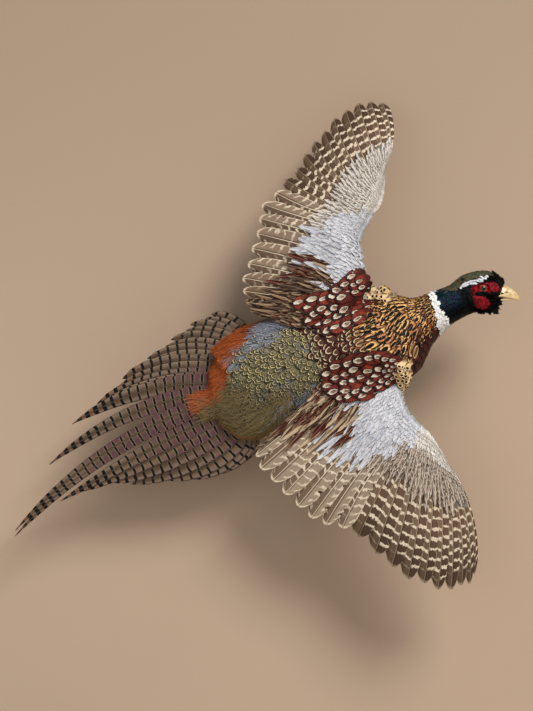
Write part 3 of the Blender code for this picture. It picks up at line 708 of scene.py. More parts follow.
# %% [markdown]
# ## Where one plumage ends and the next begins
# The borders are read in the skin's own coordinates. `off` is how far round the body a feather grows
# from the middle of the back, in degrees. The mantle, for one, is a cape: narrow on the back, and
# reaching down both sides of the neck's root. A function then lays any zone, from its roots and border.
# %% Borders of the plumage
MANTLE_EDGE = curve([(6.5, 12), (7.1, 34), (7.5, 44), (8.0, 57), (8.8, 74), (9.65, 94), (10.4, 103),
                     (11.3, 118)])
RING_FRONT = 11.80


def off_back(turn):
    """Degrees from the middle of the back, 0 to 180, the same on both sides."""
    return np.abs((np.degrees(turn) - 90 + 180) % 360 - 180)


def in_mantle(t, turn):
    return (t > 6.45) & (off_back(turn) < MANTLE_EDGE(t)[..., 0])


def rust_edge(turn):
    """The station up to which the rust fringe over the tail's root reaches."""
    return np.interp(np.degrees(turn) % 360, (0, 26, 39, 50, 68, 90, 110, 180),
                     (3.7, 3.15, 2.75, 1.9, 1.2, 0.35, 0.1, 0.1))


def rear_of_back(turn):
    """The station at which the grey green of the rump ends and the brown of the back begins."""
    return np.interp(np.degrees(turn), (15, 58, 85, 115, 135, 161), (4.95, 5.3, 5.5, 5.65, 5.4, 5.25))


def ragged(count, amount):
    return rng.normal(0, amount, count)


def body_sheets(name, points, shape, t, turn, cells, finish):
    """Makes feathers laid on the body one piece."""
    where, patch = body_map(t, turn, cells)
    return sheets(name, points, shape[2], where, patch, rng.random(len(t)), outward_on_body(t, turn), finish)


def coat(name, places, keep, finish, shape, length, half_width, heading=0.0, stray=0.10, **lay):
    """Lays one zone of body feathers. stray is how far each may turn from its heading, in radians."""
    t, turn, cells = places
    t, turn, cells = t[keep], turn[keep], cells[keep]
    size = rng.uniform(0.9, 1.12, len(t))
    heading = heading + ragged(len(t), stray)
    points = body_vanes(t, turn, length * size, half_width * size, shape, heading, **lay)
    return body_sheets(name, points, shape, t, turn, cells, finish)


ROUND, BROAD, NARROW = blade(7, 7, 0.33, 0.18, 3.0, 3.0), blade(6, 5, 0.28, 0.15), blade(7, 5, 0.6, 0.4)
SMALL = blade(5, 4, 0.32, 0.2)
print("borders and four outlines ready")

# %% [markdown]
# ## Belly, flanks and breast
# Work goes from the deepest layer to the top one. The belly faces the wall and is a soft blackish brown.
# The flanks are copper with black tips, and the breast is a glossy maroon that shows under the neck.
# %% Belly, flanks and breast
places = row_places(0.7, 10.9, 0.0085, 0.0090)
off, t_now = off_back(places[1]) + ragged(len(places[0]), 4), places[0]
front = (t_now > 6.9) & (off > MANTLE_EDGE(t_now)[..., 0] - 12)
flank = ~front & (t_now > 2.4) & (off > 84) & (off < 128)
belly = ~front & (off >= np.where(t_now > 2.4, 128, 88))
coat("coat_breast", places, front & (off > 62), breast_finish, BROAD, 0.021, 0.0072)
coat("coat_flanks", places, flank, flank_finish, BROAD, 0.024, 0.0080)
coat("coat_belly", places, belly, belly_finish, NARROW, 0.026, 0.0085, stray=0.2)

# %% [markdown]
# ## Back and rump
# The rump's rounded feathers overlap closely, so that little more than each tip shows. The middle back
# joins it to the cape of the mantle.
# %% Back and rump
places = row_places(0.7, 5.9, 0.0062, 0.0068, jitter=0.24)
off, t_now = off_back(places[1]) + ragged(len(places[0]), 3), places[0] + ragged(len(places[0]), 0.15)
edge = rust_edge(places[1])
bare_of_rust = t_now > edge + np.where(edge > 0.3, 1.1, 0.0)
rump = (off < 92) & (t_now < rear_of_back(places[1])) & bare_of_rust
coat("coat_rump", places, rump, rump_finish, ROUND, 0.0176, 0.0049, stray=0.25, tip=0.0034, fray=0.04)
rusty = (off < 96) & ~bare_of_rust & (edge > 0.3)
coat("coat_rust", places, rusty, rust_finish, NARROW, 0.0240, 0.0062, stray=0.2)
places = row_places(5.0, 9.0, 0.0092, 0.0100, jitter=0.25)
off, t_now = off_back(places[1]) + ragged(len(places[0]), 3), places[0] + ragged(len(places[0]), 0.12)
brown = (off < 88) & (t_now > rear_of_back(places[1])) & ~in_mantle(t_now - 0.35, places[1])
coat("coat_back", places, brown, back_finish, ROUND, 0.026, 0.0082, stray=0.2, tip=0.0030)

# %% [markdown]
# ## The mantle
# Its feathers shrink towards the collar, from broad brown ones along the cape's rear edge to small
# golden ones at the neck, so the rows come closer together as they go forward.
# %% Mantle
MANTLE_REAR = 6.4
places = row_places(MANTLE_REAR, 11.40, lambda t: 0.0134 - 0.0017 * (t - MANTLE_REAR),
                    lambda t: 0.0130 - 0.0018 * (t - MANTLE_REAR), jitter=0.22)
t_now, turn_now = places[0] + ragged(len(places[0]), 0.10), places[1]
golden = in_mantle(t_now, turn_now)
cape = golden & ~in_mantle(t_now - 0.95, turn_now) & (t_now < 9.6)
rear = golden & ~cape & (t_now < 8.7)
neckward = golden & (t_now >= 8.7) & ~cape
coat("coat_mantle_cape", places, cape, cape_finish, ROUND, 0.027, 0.0085, stray=0.16, tip=0.0030)
coat("coat_mantle_rear", places, rear, mantle_finish, ROUND, 0.0250, 0.0078, stray=0.22, tip=0.0032)
coat("coat_mantle_front", places, neckward & (t_now < 9.9), mantle_finish, ROUND, 0.0190, 0.0060, stray=0.2)
coat("coat_mantle_collar", places, neckward & (t_now >= 9.9), mantle_finish, BROAD, 0.0130, 0.0044, stray=0.2)

# %% [markdown]
# On the bird's right the cape's edge folds over the root of the lower wing. A second layer of golden
# feathers covers that fold: an oval patch, laid a little more across than the rest.
# %% Golden patch below the neck
places = row_places(7.7, 8.75, 0.0080, 0.0082, (math.radians(148), math.radians(212)), jitter=0.25)
patch_off = np.hypot((places[0] - 8.2) / 0.48, (np.degrees(places[1]) - 180) / 29)
coat("coat_mantle_side", places, patch_off < 1, mantle_finish, ROUND, 0.0190, 0.0066,
     heading=-0.2, stray=0.25, tip=0.0042)

# %% [markdown]
# ## The bare skin's outline
# Bare red skin surrounds the eye and hangs below it as a wattle. No feather grows there, so its outline
# has to be known before the head is covered. It is a union of ovals, less a dark slip of feathers below
# the eye.
# %% Bare skin round the eye
EYE = np.array((0.2560, 0.1135))
RED_SKIN = [   # x and z off the eye, half width, half height
    (0.0152, 0.0004, 0.0104, 0.0106), (-0.0040, 0.0000, 0.0132, 0.0082), (0.0062, 0.0022, 0.0092, 0.0078),
    (0.0014, -0.0224, 0.0138, 0.0106), (-0.0112, -0.0110, 0.0056, 0.0095), (-0.0024, -0.0125, 0.0085, 0.0060),
    (0.0168, -0.0136, 0.0012, 0.0012)]
DARK_SLIP = (-0.0022, -0.0082, 0.0098, 0.0026)
BILL_ROOT, BILL_LOW = 0.2762, 0.0985


def round_oval(x, z, oval_row):
    """Distance of places from the middle of an oval off the eye: 1 on its edge."""
    off_x, off_z, half_x, half_z = oval_row
    return np.hypot((x - EYE[0] - off_x) / half_x, (z - EYE[1] - off_z) / half_z)


def red_depth(x, z):
    """How far inside the bare red skin a place is: 0 at its edge, 1 deep within, negative outside."""
    return np.max([1 - round_oval(x, z, row) for row in RED_SKIN], axis=0)


def bare(t, turn):
    """True where no feather grows: the red skin on both cheeks, and the bill's root."""
    place = on_body(t, turn, 0.0)
    x, z, off = place[..., 0], place[..., 2], off_back(turn)
    cheek = (red_depth(x, z) > 0.02) & (off > 40) & (off < 150) & (round_oval(x, z, DARK_SLIP) >= 1)
    beside_bill = (x > BILL_ROOT) & (z > BILL_LOW) & (z < 0.1020 + 0.9 * (x - BILL_ROOT))
    return cheek | beside_bill | ((t > 17.75) & (z > BILL_LOW))


print("bare skin of", len(RED_SKIN), "ovals")

# %% [markdown]
# ## Collar, neck and head
# The collar is broken and uneven, white over dark. The neck's feathers are short and dense as velvet,
# and begin just under the collar's front edge. On the nape they stop early, where the crown's begin.
# %% Collar and neck
places = row_places(10.5, 11.9, 0.0030, 0.0034)
t_now, turn_now = places[0] + ragged(len(places[0]), 0.07), places[1]
low_rim = np.interp(off_back(turn_now), (0, 60, 110, 180), (11.45, 11.38, 10.95, 10.60))
in_ring = (t_now > low_rim) & (t_now < RING_FRONT)
coat("coat_collar", places, in_ring, collar_finish, SMALL, 0.0085, 0.0040, stray=0.25, tip=0.0034, fray=0.10)
places = row_places(11.3, 14.2, 0.0034, 0.0031)
t_now = places[0] + ragged(len(places[0]), 0.05)
nape = (t_now > 12.5) & (off_back(places[1]) < np.interp(t_now, (12.5, 13.3, 14.2), (20, 50, 54)))
glossy = (t_now > RING_FRONT - 0.05) & (t_now < 13.75) & ~nape & ~bare(*places[:2])
coat("coat_neck", places, glossy, neck_finish, SMALL, 0.0085, 0.0026, stray=0.16)

# %% [markdown]
# The feathers of the head are the smallest of all. The crown is greenish bronze, a pale brow line runs
# above the eye on each side, and the face below is black. One set of roots is shared out among them.
# %% Crown, brow and face
places = row_places(12.5, 17.75, 0.0021, 0.0020)
t_now, off = places[0] + ragged(len(places[0]), 0.05), off_back(places[1]) + ragged(len(places[0]), 1.5)
brow_line = np.interp(t_now, (13.6, 14.2, 14.8, 15.4, 16.0), (52, 58, 60, 56, 48))
brow_width = np.interp(t_now, (13.6, 14.1, 14.75, 14.9, 15.5, 16.0), (3, 7, 4, 3, 5, 1))
brow = (np.abs(off - brow_line) < brow_width) & (t_now > 13.7) & (t_now < 16.0)
crown_edge = np.interp(t_now, (12.5, 13.3, 15.8, 16.9), (20, 49, 50, 34))
crown_edge = np.where((t_now > 13.3) & (t_now < 15.8), brow_line, crown_edge)
crown = (off < crown_edge) & ~brow & (t_now < 16.75)
face = ~brow & ~crown & (t_now > 13.5)
free = ~bare(*places[:2])
coat("coat_crown", places, crown & free, crown_finish, SMALL, 0.0062, 0.0019, stray=0.2, tip=0.0012)
coat("coat_brow", places, brow & free, brow_finish, SMALL, 0.0062, 0.0018, stray=0.2, tip=0.0026)
coat("coat_face", places, face & free, face_finish, SMALL, 0.0056, 0.0018, stray=0.22)

# %% [markdown]
# ## Flight feathers
# Ten primaries, then the secondaries and tertials, each a stiff vane with a ridge of horn down it. Seen
# from above, the outer web of each feather lies on the inner web of the next one out, so every vane is
# tilted a little. Each is modelled as a thin lens of two sheets, since it is seen from both sides, and
# the fan's own lines carry it, so the pose of the solids is kept.
# %% Finishes of the flight feathers
def barred(u, v, tone, every, width, lean, ragged_by):
    """Pale bars across a web, uneven in place and width. every is their spacing on the vane map."""
    wobble = noise(combine(u * 2.6, v * 34.0, tone * 57.0), 1.0, 4.0)
    where = abs(u) * lean + v / every + wobble * (ragged_by * 2) - ragged_by
    where = tone * 0.8 + between(u, -0.03, 0.03) * 0.35 + where
    wave = abs(maths("FRACT", where) - 0.5)
    patchy = noise(combine(u * 4.0, v * 60.0, tone * 23.0), 1.0, 3.0)
    wide = (patchy * 3.2 - 0.6) * width
    return between(wave - wide, 0.02, -0.02)


def webbed(u, v, tone, colour, rim, rim_share, rim_from=0.86):
    """Pale worn rims, a painted shadow line where the next feather's shadow falls, and painted shade beside
    the shaft.
    """
    worn = noise(combine(u * 0.5, v * 30.0, tone * 77.0), 1.0, 2.0)
    edge = most(between(u, rim_from, rim_from + 0.08), between(u, -0.84, -0.93) * 0.6)
    edge = edge * between(worn, 0.36, 0.56)
    edged = mix(most(edge, between(v, 0.975, 0.995)) * rim_share, colour, rim)
    # painted shade: a dark band on the web where the next feather lies over it, and another just beside the
    # shaft
    shade = band(u, -0.80, -0.52, 0.10) * 0.40
    shade = most(shade, band(u, 0.03, 0.16, 0.04) * 0.45)
    return mix(shade, edged, (44, 32, 24))


def primary_drawing(u, v, side, grain, tone):
    brown = mix(between(v, 0.50, 1.0), (150, 128, 108), (112, 90, 70))
    outer = mix(between(v, 0.6, 0.95), (124, 100, 82), (88, 68, 52))
    brown = mix(between(u, -0.02, 0.02), brown, outer)
    brown = mix(grain * 0.40, brown, (62, 46, 36))
    bars = barred(u, v, tone, 0.066, 0.135, 0.12, 0.26)
    bars = bars * between(tone * 0.06 + v, 0.965, 0.92) * between(side, 0.05, 0.10)
    pale = mix(grain, (206, 184, 156), (240, 230, 212))
    return webbed(u, v, tone, mix(bars, brown, pale), (206, 188, 162), 0.45)


def upper_wing():
    """1 on the wing that is raised, 0 on the one that hangs: their coverts differ a little."""
    return between(parts(object_place())[2], 0.02, 0.10)


def innermost():
    """1 on the feathers of the raised wing next to the body, which are browner than the rest."""
    return between(parts(object_place())[2], 0.160, 0.100) * upper_wing()


def secondary_drawing(u, v, side, grain, tone):
    web = mix(between(u, -0.15, 0.25), (128, 106, 88), (176, 158, 138))
    deeper = mix(between(u, -0.15, 0.25), (90, 70, 54), (142, 120, 100))
    web = mix(upper_wing() * 0.55, web, deeper)
    web = mix(grain * 0.5, web, (112, 92, 76))
    bars = barred(u, v, tone, 0.060, 0.13, 0.5, 0.50)
    reach = most(between(tone * 0.25 + v, 1.00, 0.80), between(side, 0.35, 0.60) * 0.8)
    web = mix(bars * reach, web, mix(grain, (206, 188, 162), (240, 230, 212)))
    web = mix(innermost() * 0.75, web, mix(grain, (74, 54, 40), (128, 100, 72)))
    return webbed(u, v, tone, web, (228, 212, 186), 0.80, 0.87)


def tertial_drawing(u, v, side, grain, tone):
    brown = mix(tone, (84, 62, 42), (60, 42, 30))
    brown = mix(grain * 0.6, brown, (44, 30, 24))
    bars = barred(u, v, tone, 0.055, 0.12, 0.6, 0.6) * 0.5
    return webbed(u, v, tone, mix(bars, brown, (196, 172, 138)), (166, 138, 102), 0.55, 0.80)


def flight_plumage(name, drawing, roughness, barbs, slant):
    return plumage(name, drawing, roughness, barbs, slant, relief=0.2, shaft=False)


flight_finish = {"primaries": flight_plumage("primary_feather", primary_drawing, 0.5, 150, 0.10),
                 "secondaries": flight_plumage("secondary_feather", secondary_drawing, 0.5, 140, 0.12),
                 "tertials": flight_plumage("tertial_feather", tertial_drawing, 0.55, 120, 0.12)}


def shaft_finish(name, root, tip):
    f = Finish(name, 0.35, Coat_Weight=0.2)
    u, v = web_place()
    return f.done(mix(noise(combine(u, v * 9.0, 0.0), 2.0), mix(v, root, tip), root))


shaft_brown = shaft_finish("shaft_brown", (206, 184, 150), (72, 52, 38))
shaft_pale = shaft_finish("shaft_pale", (232, 216, 188), (222, 204, 172))
print("flight finishes ready")

# %% [markdown]
# ## One function for every flight feather
# All vanes of a group are worked out at once. A feather follows its own line of the wing. Its web is
# wider on the inner side, narrows to a rounded tip, and has a few notches where barbs have parted. Its
# shaft is a thin half round strip on either face, bowed with the web.
# %% Vanes and shafts along the lines of a wing
GROUPS = {"tertials": (0, 4), "secondaries": (4, 12), "primaries": (12, 22)}
LONGEST_FLIGHT = 0.24
QUILL_START, SHAFT_END = 0.10, 0.985


def bowed(v, group):
    """How far a feather bends off its own line, in lines: primaries forwards, the others back."""
    return 0.10 * np.sin(math.pi * v) * (1 if group == "primaries" else -1)


def between_faces(read, line, share):
    """Y midway between the wing's upper and under face."""
    return ((read(line, share, -1) + read(line, share, 1)) / 2)[..., 1]


def flight_group(side, group, first, last, rows=46, columns=9):
    """The vanes of one group of flight feathers, and their shafts."""
    read = wings[side]
    primary, raised = group == "primaries", side == "left"
    line = np.arange(first, last) + 0.5
    count = len(line)
    v, u = web_grid(rows, columns)
    end = 1 + rng.uniform(-0.045 if raised else -0.025, 0.006, count)
    run = (end - QUILL_START)[:, None, None]
    along = v - (0.055 if primary else 0.075) * np.abs(u) ** 2.4 * v ** 9
    rough = rng.normal(0, 0.0050, (count, rows, columns)) * np.abs(u) ** 2
    share = QUILL_START + run * (along[None] + rough * v)
    web = np.where(u > 0, 0.60 if primary else 0.66, 0.74)
    narrow = (0.46 if primary else 0.36) * (1.0 if raised else 0.8)
    reach = web * (1 + 0.25 * (1 - v)) * (1 - narrow * v ** (6.5 if raised else 11))
    # the barbs have parted here and there, which leaves notches in the edge
    parted = np.ones((count, rows, 2))
    for notch in range(4):
        parted[np.arange(count), rng.integers(rows // 3, rows - 3, count),
               rng.integers(0, 2, count)] = rng.uniform(0.55, 0.85, count)
    parted = 1 - (1 - parted[:, :, np.where(u[0] > 0, 1, 0)]) * np.abs(u) ** 1.5
    places = line[:, None, None] + (u * reach)[None] * parted + bowed(v, group)[None]
    places = places + rng.normal(0, 0.03, (count, 1, 1)) * v
    # the outer web rides on the next feather out, and the webs curve down from the shaft
    lift = 0.0004 + 0.0011 * u - 0.0005 * u ** 2 + 0.0004 * np.sin(9 * v + u)
    points = read(places, share, -1, 0.0)
    points[..., 1] = between_faces(read, places, share) - lift
    length = np.linalg.norm(read(line, 1.0, -1) - read(line, QUILL_START, -1), axis=-1)
    vane = vane_map((u / 2 + 0.5)[None], 1 - (1 - v)[None] * (length / LONGEST_FLIGHT)[:, None, None])
    thick = (0.0007 * (1 - u ** 2) * (1 - 0.5 * v))[..., None]
    piece = sheets(f"wing_{side}_{group}_vanes", points, vane, side_by_side(count, 0.25), (0.8 / count, 0.44),
                   rng.random(count), all_facing(count, -1), flight_finish[group], thick)
    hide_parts(f"wing_{side}_{group}")

    t, w = web_grid(24, 5)
    t = t * SHAFT_END
    share = QUILL_START + run * t[None]
    middle = line[:, None, None] + bowed(t, group)[None] + 0 * share
    across = unit((read(middle + 0.05, share, -1) - read(middle - 0.05, share, -1)) * (1, 0, 1))
    half = (0.00125 if group == "secondaries" else 0.00095) * (1 - 0.75 * t)
    base = read(middle, share, -1)
    base[..., 1] = between_faces(read, middle, share) - 0.0006 - 0.0004 * np.sin(9 * t)
    ribs = []
    for face, drop in ((-1, 0.0), (1, 0.0009)):
        rib = base + across * (w * half)[None, ..., None]
        rib[..., 1] += (face * 1.1 * half * (1 - w ** 2) + drop)[None]
        ribs.append(rib)
    facing = np.concatenate((all_facing(count, -1), all_facing(count, 1)))
    sheets(f"wing_{side}_{group}_shafts", np.concatenate(ribs), vane_map(w / 2 + 0.5, t),
           side_by_side(2 * count, 0.5), (0.4 / count, 0.9), rng.random(2 * count), facing,
           shaft_brown if primary else shaft_pale)


for side in WINGS:
    for group, (first, last) in GROUPS.items():
        flight_group(side, group, first, last)

# %% [markdown]
# ## Wing coverts
# Rows of shorter feathers roof the quills, each row shorter and denser towards the front edge. On this
# wing the shoulder is a smooth blue grey, the inner rows are cream with a chestnut web, and the hand's
# are narrow, grey and pale edged. The under side has the same rows in whitish buff with brown bars.
# %% Finishes of the coverts
def smooth_drawing(u, v, side, grain, tone):
    grey = mix(tone, (210, 211, 217), (158, 162, 174))
    pale = mix(between(grain, 0.40, 0.72), grey, (222, 223, 226))
    pale = mix(between(side, 0.16, 0.04) * 0.6, pale, (238, 236, 230))
    rim = mix(between(side, 0.74, 0.95) * 0.75, pale, (240, 237, 230))
    speck = noise(combine(u * 2.0, v * 5.0, tone * 91.0), 1.3, 1.0)
    speck = between(speck, 0.62, 0.70) * between(v, 0.5, 0.7)
    return shaded_root(v, mix(speck * 0.8, rim, (134, 104, 74)), 0.55, 0.35)


def inner_drawing(u, v, side, grain, tone):
    raised = upper_wing()
    cream = mix(grain, (216, 194, 164), (156, 132, 106))
    cream = mix(raised * 0.45, cream, (150, 118, 86))
    inmost = innermost()
    cream = mix(inmost * 0.8, cream, mix(grain, (94, 70, 50), (158, 126, 92)))
    dark = mix(between(tone - inmost * 0.5, 0.52, 0.58), (84, 60, 46), (98, 40, 26))
    dark = mix(grain * 0.5, dark, (50, 30, 24))
    web = most(between(u, -0.10, 0.10), between(raised * 0.16 + tone, 0.56, 0.64))
    web = web * between(grain * 0.3 + side, 0.96, 0.80)
    web = web * between(raised * 0.14 + tone, 0.14, 0.22)
    marked = mix(web * between(grain * 0.4 + v, 1.38, 1.05), cream, dark)
    shaft = between(side, 0.09, 0.03) * (0.7 - web * 0.5)
    return shaded_root(v, mix(shaft, marked, (226, 208, 180)), 0.55, 0.75)


def hand_drawing(u, v, side, grain, tone):
    raised = upper_wing()
    brown = mix(tone, (164, 142, 122), (108, 88, 74))
    grey = mix(raised, brown, mix(tone, (184, 174, 164), (134, 118, 104)))
    lighter = mix(raised, (196, 180, 160), (226, 224, 222))
    grey = mix(between(grain, 0.35, 0.8) * 0.6, grey, lighter)
    bars = barred(u, v, tone, 0.20, 0.12, 0.5, 0.4) * between(side, 0.15, 0.3)
    grey = mix(bars * 0.7, grey, (232, 222, 206))
    strong = raised * 0.15 + 0.75
    rim = mix(between(side, 0.74, 0.90) * strong, grey, (240, 232, 218))
    shaft = between(side, 0.12, 0.04) * strong
    return shaded_root(v, mix(shaft, rim, (244, 238, 226)), 0.45, 0.5)


def fringe_drawing(u, v, side, grain, tone):
    cream = mix(tone, (240, 235, 227), (212, 206, 197))
    dark = between(noise(combine(u, v * 4.0, tone * 63.0), 2.0, 1.0), 0.52, 0.60)
    return mix(dark * 0.6, cream, (124, 106, 90))


def lining_drawing(u, v, side, grain, tone):
    buff = mix(tone, (226, 216, 200), (200, 186, 166))
    bar = band(v, 0.66, 0.80, 0.04) * between(tone, 0.3, 0.5)
    return shaded_root(v, mix(bar * 0.7, buff, (126, 104, 82)), 0.5, 0.4)


covert_finish = {drawing.__name__[:-8]: plumage(drawing.__name__[:-8] + "_covert", drawing) for drawing in
                 (smooth_drawing, inner_drawing, hand_drawing, fringe_drawing, lining_drawing)}
print("covert finishes ready")

# %% [markdown]
# ## Laying the coverts
# Twelve rows lie on each face. A table gives each row's end and length as shares of a curve, the covert
# end, and how many feathers it has to a line. Places under the scapulars are left out, since nothing
# shows there, and chance moves every feather a little so that the rows don't look ruled.
# %% Rows of coverts
COVERT_END = curve([(0, 0.93), (3, 0.90), (5.5, 0.80), (8, 0.66), (10, 0.55), (12, 0.52), (15, 0.52),
                    (18, 0.50), (20, 0.46), (22, 0.42)])
RIGHT_HAND = curve([(0, 1), (12, 1), (15, 0.97), (18, 0.94), (22, 0.92)])
# end and length of each row as shares of the covert end, then feathers to a line
COVERT_ROWS = [(1.00, 0.52, 1.5), (0.90, 0.46, 1.8), (0.79, 0.40, 2.1), (0.68, 0.36, 2.4), (0.58, 0.32, 2.7),
               (0.48, 0.28, 3.0), (0.39, 0.25, 3.3), (0.30, 0.22, 3.6), (0.22, 0.19, 3.9), (0.15, 0.16, 4.2),
               (0.09, 0.13, 4.4), (0.04, 0.10, 4.6)]
HIDDEN = "under the scapulars"
SCAPULAR_OUTLINE = {
    "left": [(-0.030, 0.092), (0.018, 0.098), (0.046, 0.127), (0.060, 0.130), (0.070, 0.126), (0.077, 0.112),
             (0.080, 0.096), (0.082, 0.078), (0.060, 0.060), (0.038, 0.048), (0.010, 0.048), (-0.006, 0.064)],
    "right": [(0.018, -0.012), (0.040, 0.004), (0.060, 0.014), (0.104, 0.012), (0.128, 0.004),
              (0.124, -0.022), (0.100, -0.036), (0.072, -0.048), (0.036, -0.050), (0.020, -0.040)]}


def inside(outline, x, z):
    """Even-odd test of places against an outline of (x, z) corners."""
    odd = np.zeros(np.shape(x), bool)
    for (x1, z1), (x2, z2) in zip(outline, outline[1:] + outline[:1]):
        crosses = (z1 > z) != (z2 > z)
        with np.errstate(divide="ignore", invalid="ignore"):
            odd ^= crosses & (x < (x2 - x1) * (z - z1) / (z2 - z1) + x1)
    return odd


LANCE, OBLONG = blade(7, 5, 0.55, 0.35), blade(6, 5, 0.35, 0.2)


def covert_kind(line, end):
    """Which finish a covert takes, from its line and where its tip lies."""
    kind = np.full(line.shape, "smooth", dtype=object)
    near_body = line < 7.6 + rng.normal(0, 0.6, line.shape)
    kind[near_body & (end > 0.40 + rng.normal(0, 0.04, line.shape))] = "inner"
    kind[(line < 3.4) & (end > 0.18)] = "inner"
    hand = line > 12.3 + rng.normal(0, 0.5, line.shape) + 1.0 * (end < 0.2) - 2.6 * (end > 0.40)
    kind[hand] = "hand"
    kind[hand & (end < 0.15)] = "fringe"
    return kind


def wing_vanes(side, face, line, end, length, half_width, shape, lean, root_lift, tip_lift):
    """Points of coverts that end at (line, end) and lie along the wing's lines."""
    read = wings[side]
    along = frayed(shape[0], len(line), 0.06)
    v, u = shape[2][..., 1][None], shape[2][..., 0][None] * 2 - 1
    line, end, length, half_width, lean = (np.broadcast_to(a, len(line))[:, None, None]
                                           for a in (line, end, length, half_width, lean))
    share = end - length * (1 - along)
    beyond, before = np.clip(line + 0.5, 0, LINES), np.clip(line - 0.5, 0, LINES)
    gap = np.linalg.norm(read(beyond, end, -1) - read(before, end, -1), axis=-1)
    line_step = gap / np.minimum(line + 0.5, np.minimum(1.0, LINES + 0.5 - line)).clip(0.5, 1)
    places = line + shape[1][None] * half_width / line_step - lean * (along - 0.7)
    lift = root_lift + (tip_lift - root_lift) * v - 0.0006 * u ** 2 * v
    return read(places, share, face, lift)


def covert_places(side, face):
    """Line, end, length, row and density of every covert on one face of a wing."""
    found = []
    for row, (end, length, dense) in enumerate(COVERT_ROWS):
        count = int(LINES * dense)
        line = (np.arange(count) + 0.25 + 0.5 * (row % 2)) / count * LINES
        line = np.clip(line + rng.normal(0, 0.08 / dense, count), 0.05, LINES - 0.05)
        reach = COVERT_END(line)[:, 0] * (RIGHT_HAND(line)[:, 0] if side == "right" else 1)
        at = reach * end * (1 + rng.normal(0, 0.03, count))
        long = reach * length * rng.uniform(0.95, 1.15, count)
        if face > 0:
            at, long = at * 0.92, long * 1.05
        found.append(np.stack((line, at, long, np.full(count, row), np.full(count, dense)), axis=1))
    found = np.concatenate(found)
    on_hand = (found[:, 0] > 12.8) & (found[:, 3] < 6)
    sparse = on_hand & (rng.random(len(found)) < (0.48 if side == "right" else 0.30))
    return found[~sparse].T


def wing_coverts(side, face):
    """All rows of one face of a wing, sorted into a piece for each finish."""
    found = covert_places(side, face)
    line, end = found[:2]
    kind = covert_kind(line, end) if face < 0 else np.full(len(line), "lining", dtype=object)
    tip = wings[side](line, end, face)
    kind[inside(SCAPULAR_OUTLINE[side], tip[:, 0], tip[:, 2]) & (face < 0)] = HIDDEN
    kind[(tip[:, 0] > 0.066) & (tip[:, 2] > 0) & (tip[:, 2] < 0.120)] = HIDDEN
    for name in sorted(set(kind) - {HIDDEN}):
        line, end, length, row, dense = found[:, kind == name]
        n = len(line)
        wide = {"hand": 0.0080, "inner": 0.0082, "fringe": 0.0036}.get(name, 0.0062) * (1 - 0.05 * row)
        shape = LANCE if name in ("hand", "inner") else OBLONG
        top = 0.0014 + 0.0001 * row + rng.uniform(0, 0.0032 if name == "inner" else 0.0010, n)
        lean = rng.normal(0, {"inner": 1.3, "smooth": 0.55}.get(name, 0.22), n) * 0.5
        points = wing_vanes(side, face, line, end, length, wide, shape, lean, -0.0006, top[:, None, None])
        where = np.stack((line / LINES, 1 - row / len(COVERT_ROWS) - 0.05), axis=1) * 0.94 + 0.03
        patch = np.stack((0.7 / (LINES * dense), np.full(n, 0.075)), axis=1)
        label = "upper" if face < 0 else "under"
        sheets(f"wing_{side}_{label}_{name}", points, shape[2], where, patch, rng.random(n),
               all_facing(n, face), covert_finish[name])


for side in WINGS:
    for face in (-1, 1):
        wing_coverts(side, face)

# %% [markdown]
# ## The tail
# Eighteen long pointed feathers, the middle pair on top. They are olive brown with black bars, mauve and
# hairy along their edges. The bars keep the same spacing on every feather, so the vane map is measured in
# metres from the tip and not stretched to each feather's length. The two webs' bars don't quite meet.
# %% Finish of the tail
# Each row: x and z of the root, x and z of the tip, bow as a share of the length. Top pair first.
TAIL_FEATHERS = {
    "left": (
        (-0.1002, -0.0409, -0.4445, -0.2503, 0.076),
        (-0.1002, -0.0364, -0.3930, -0.1506, 0.085),
        (-0.1002, -0.0315, -0.3586, -0.0895, 0.095),
        (-0.1002, -0.0242, -0.3213, -0.0599, 0.100),
        (-0.1002, -0.0129, -0.2825, -0.0210, 0.115),
        (-0.1002, -0.0020, -0.2452, 0.0094, 0.125),
        (-0.0994, 0.0102, -0.2095, 0.0381, 0.135),
        (-0.0973, 0.0211, -0.1804, 0.0608, 0.140),
        (-0.0945, 0.0304, -0.1488, 0.0770, 0.150)),
    "right": (
        (-0.1002, -0.0425, -0.4453, -0.2592, 0.072),
        (-0.0994, -0.0534, -0.3772, -0.2061, 0.010),
        (-0.0973, -0.0627, -0.3497, -0.1928, -0.020),
        (-0.0945, -0.0708, -0.3019, -0.1774, -0.055),
        (-0.0913, -0.0777, -0.2703, -0.1798, -0.085),
        (-0.0888, -0.0842, -0.2160, -0.1737, -0.120),
        (-0.0872, -0.0899, -0.1844, -0.1709, -0.140),
        (-0.0856, -0.0947, -0.1528, -0.1632, -0.150),
        (-0.0840, -0.0996, -0.1245, -0.1490, -0.150))}
TAIL_HALF_WIDTHS = (.0135, .0150, .0155, .0155, .0155, .0155, .0150, .0150, .0145)
TAIL_TIP_POWERS = (1.5, 1.8, 2.2, 2.8, 3.4, 3.6, 3.6, 3.6, 3.6)
LONGEST, BAR_SPACING = 0.41, 0.0335


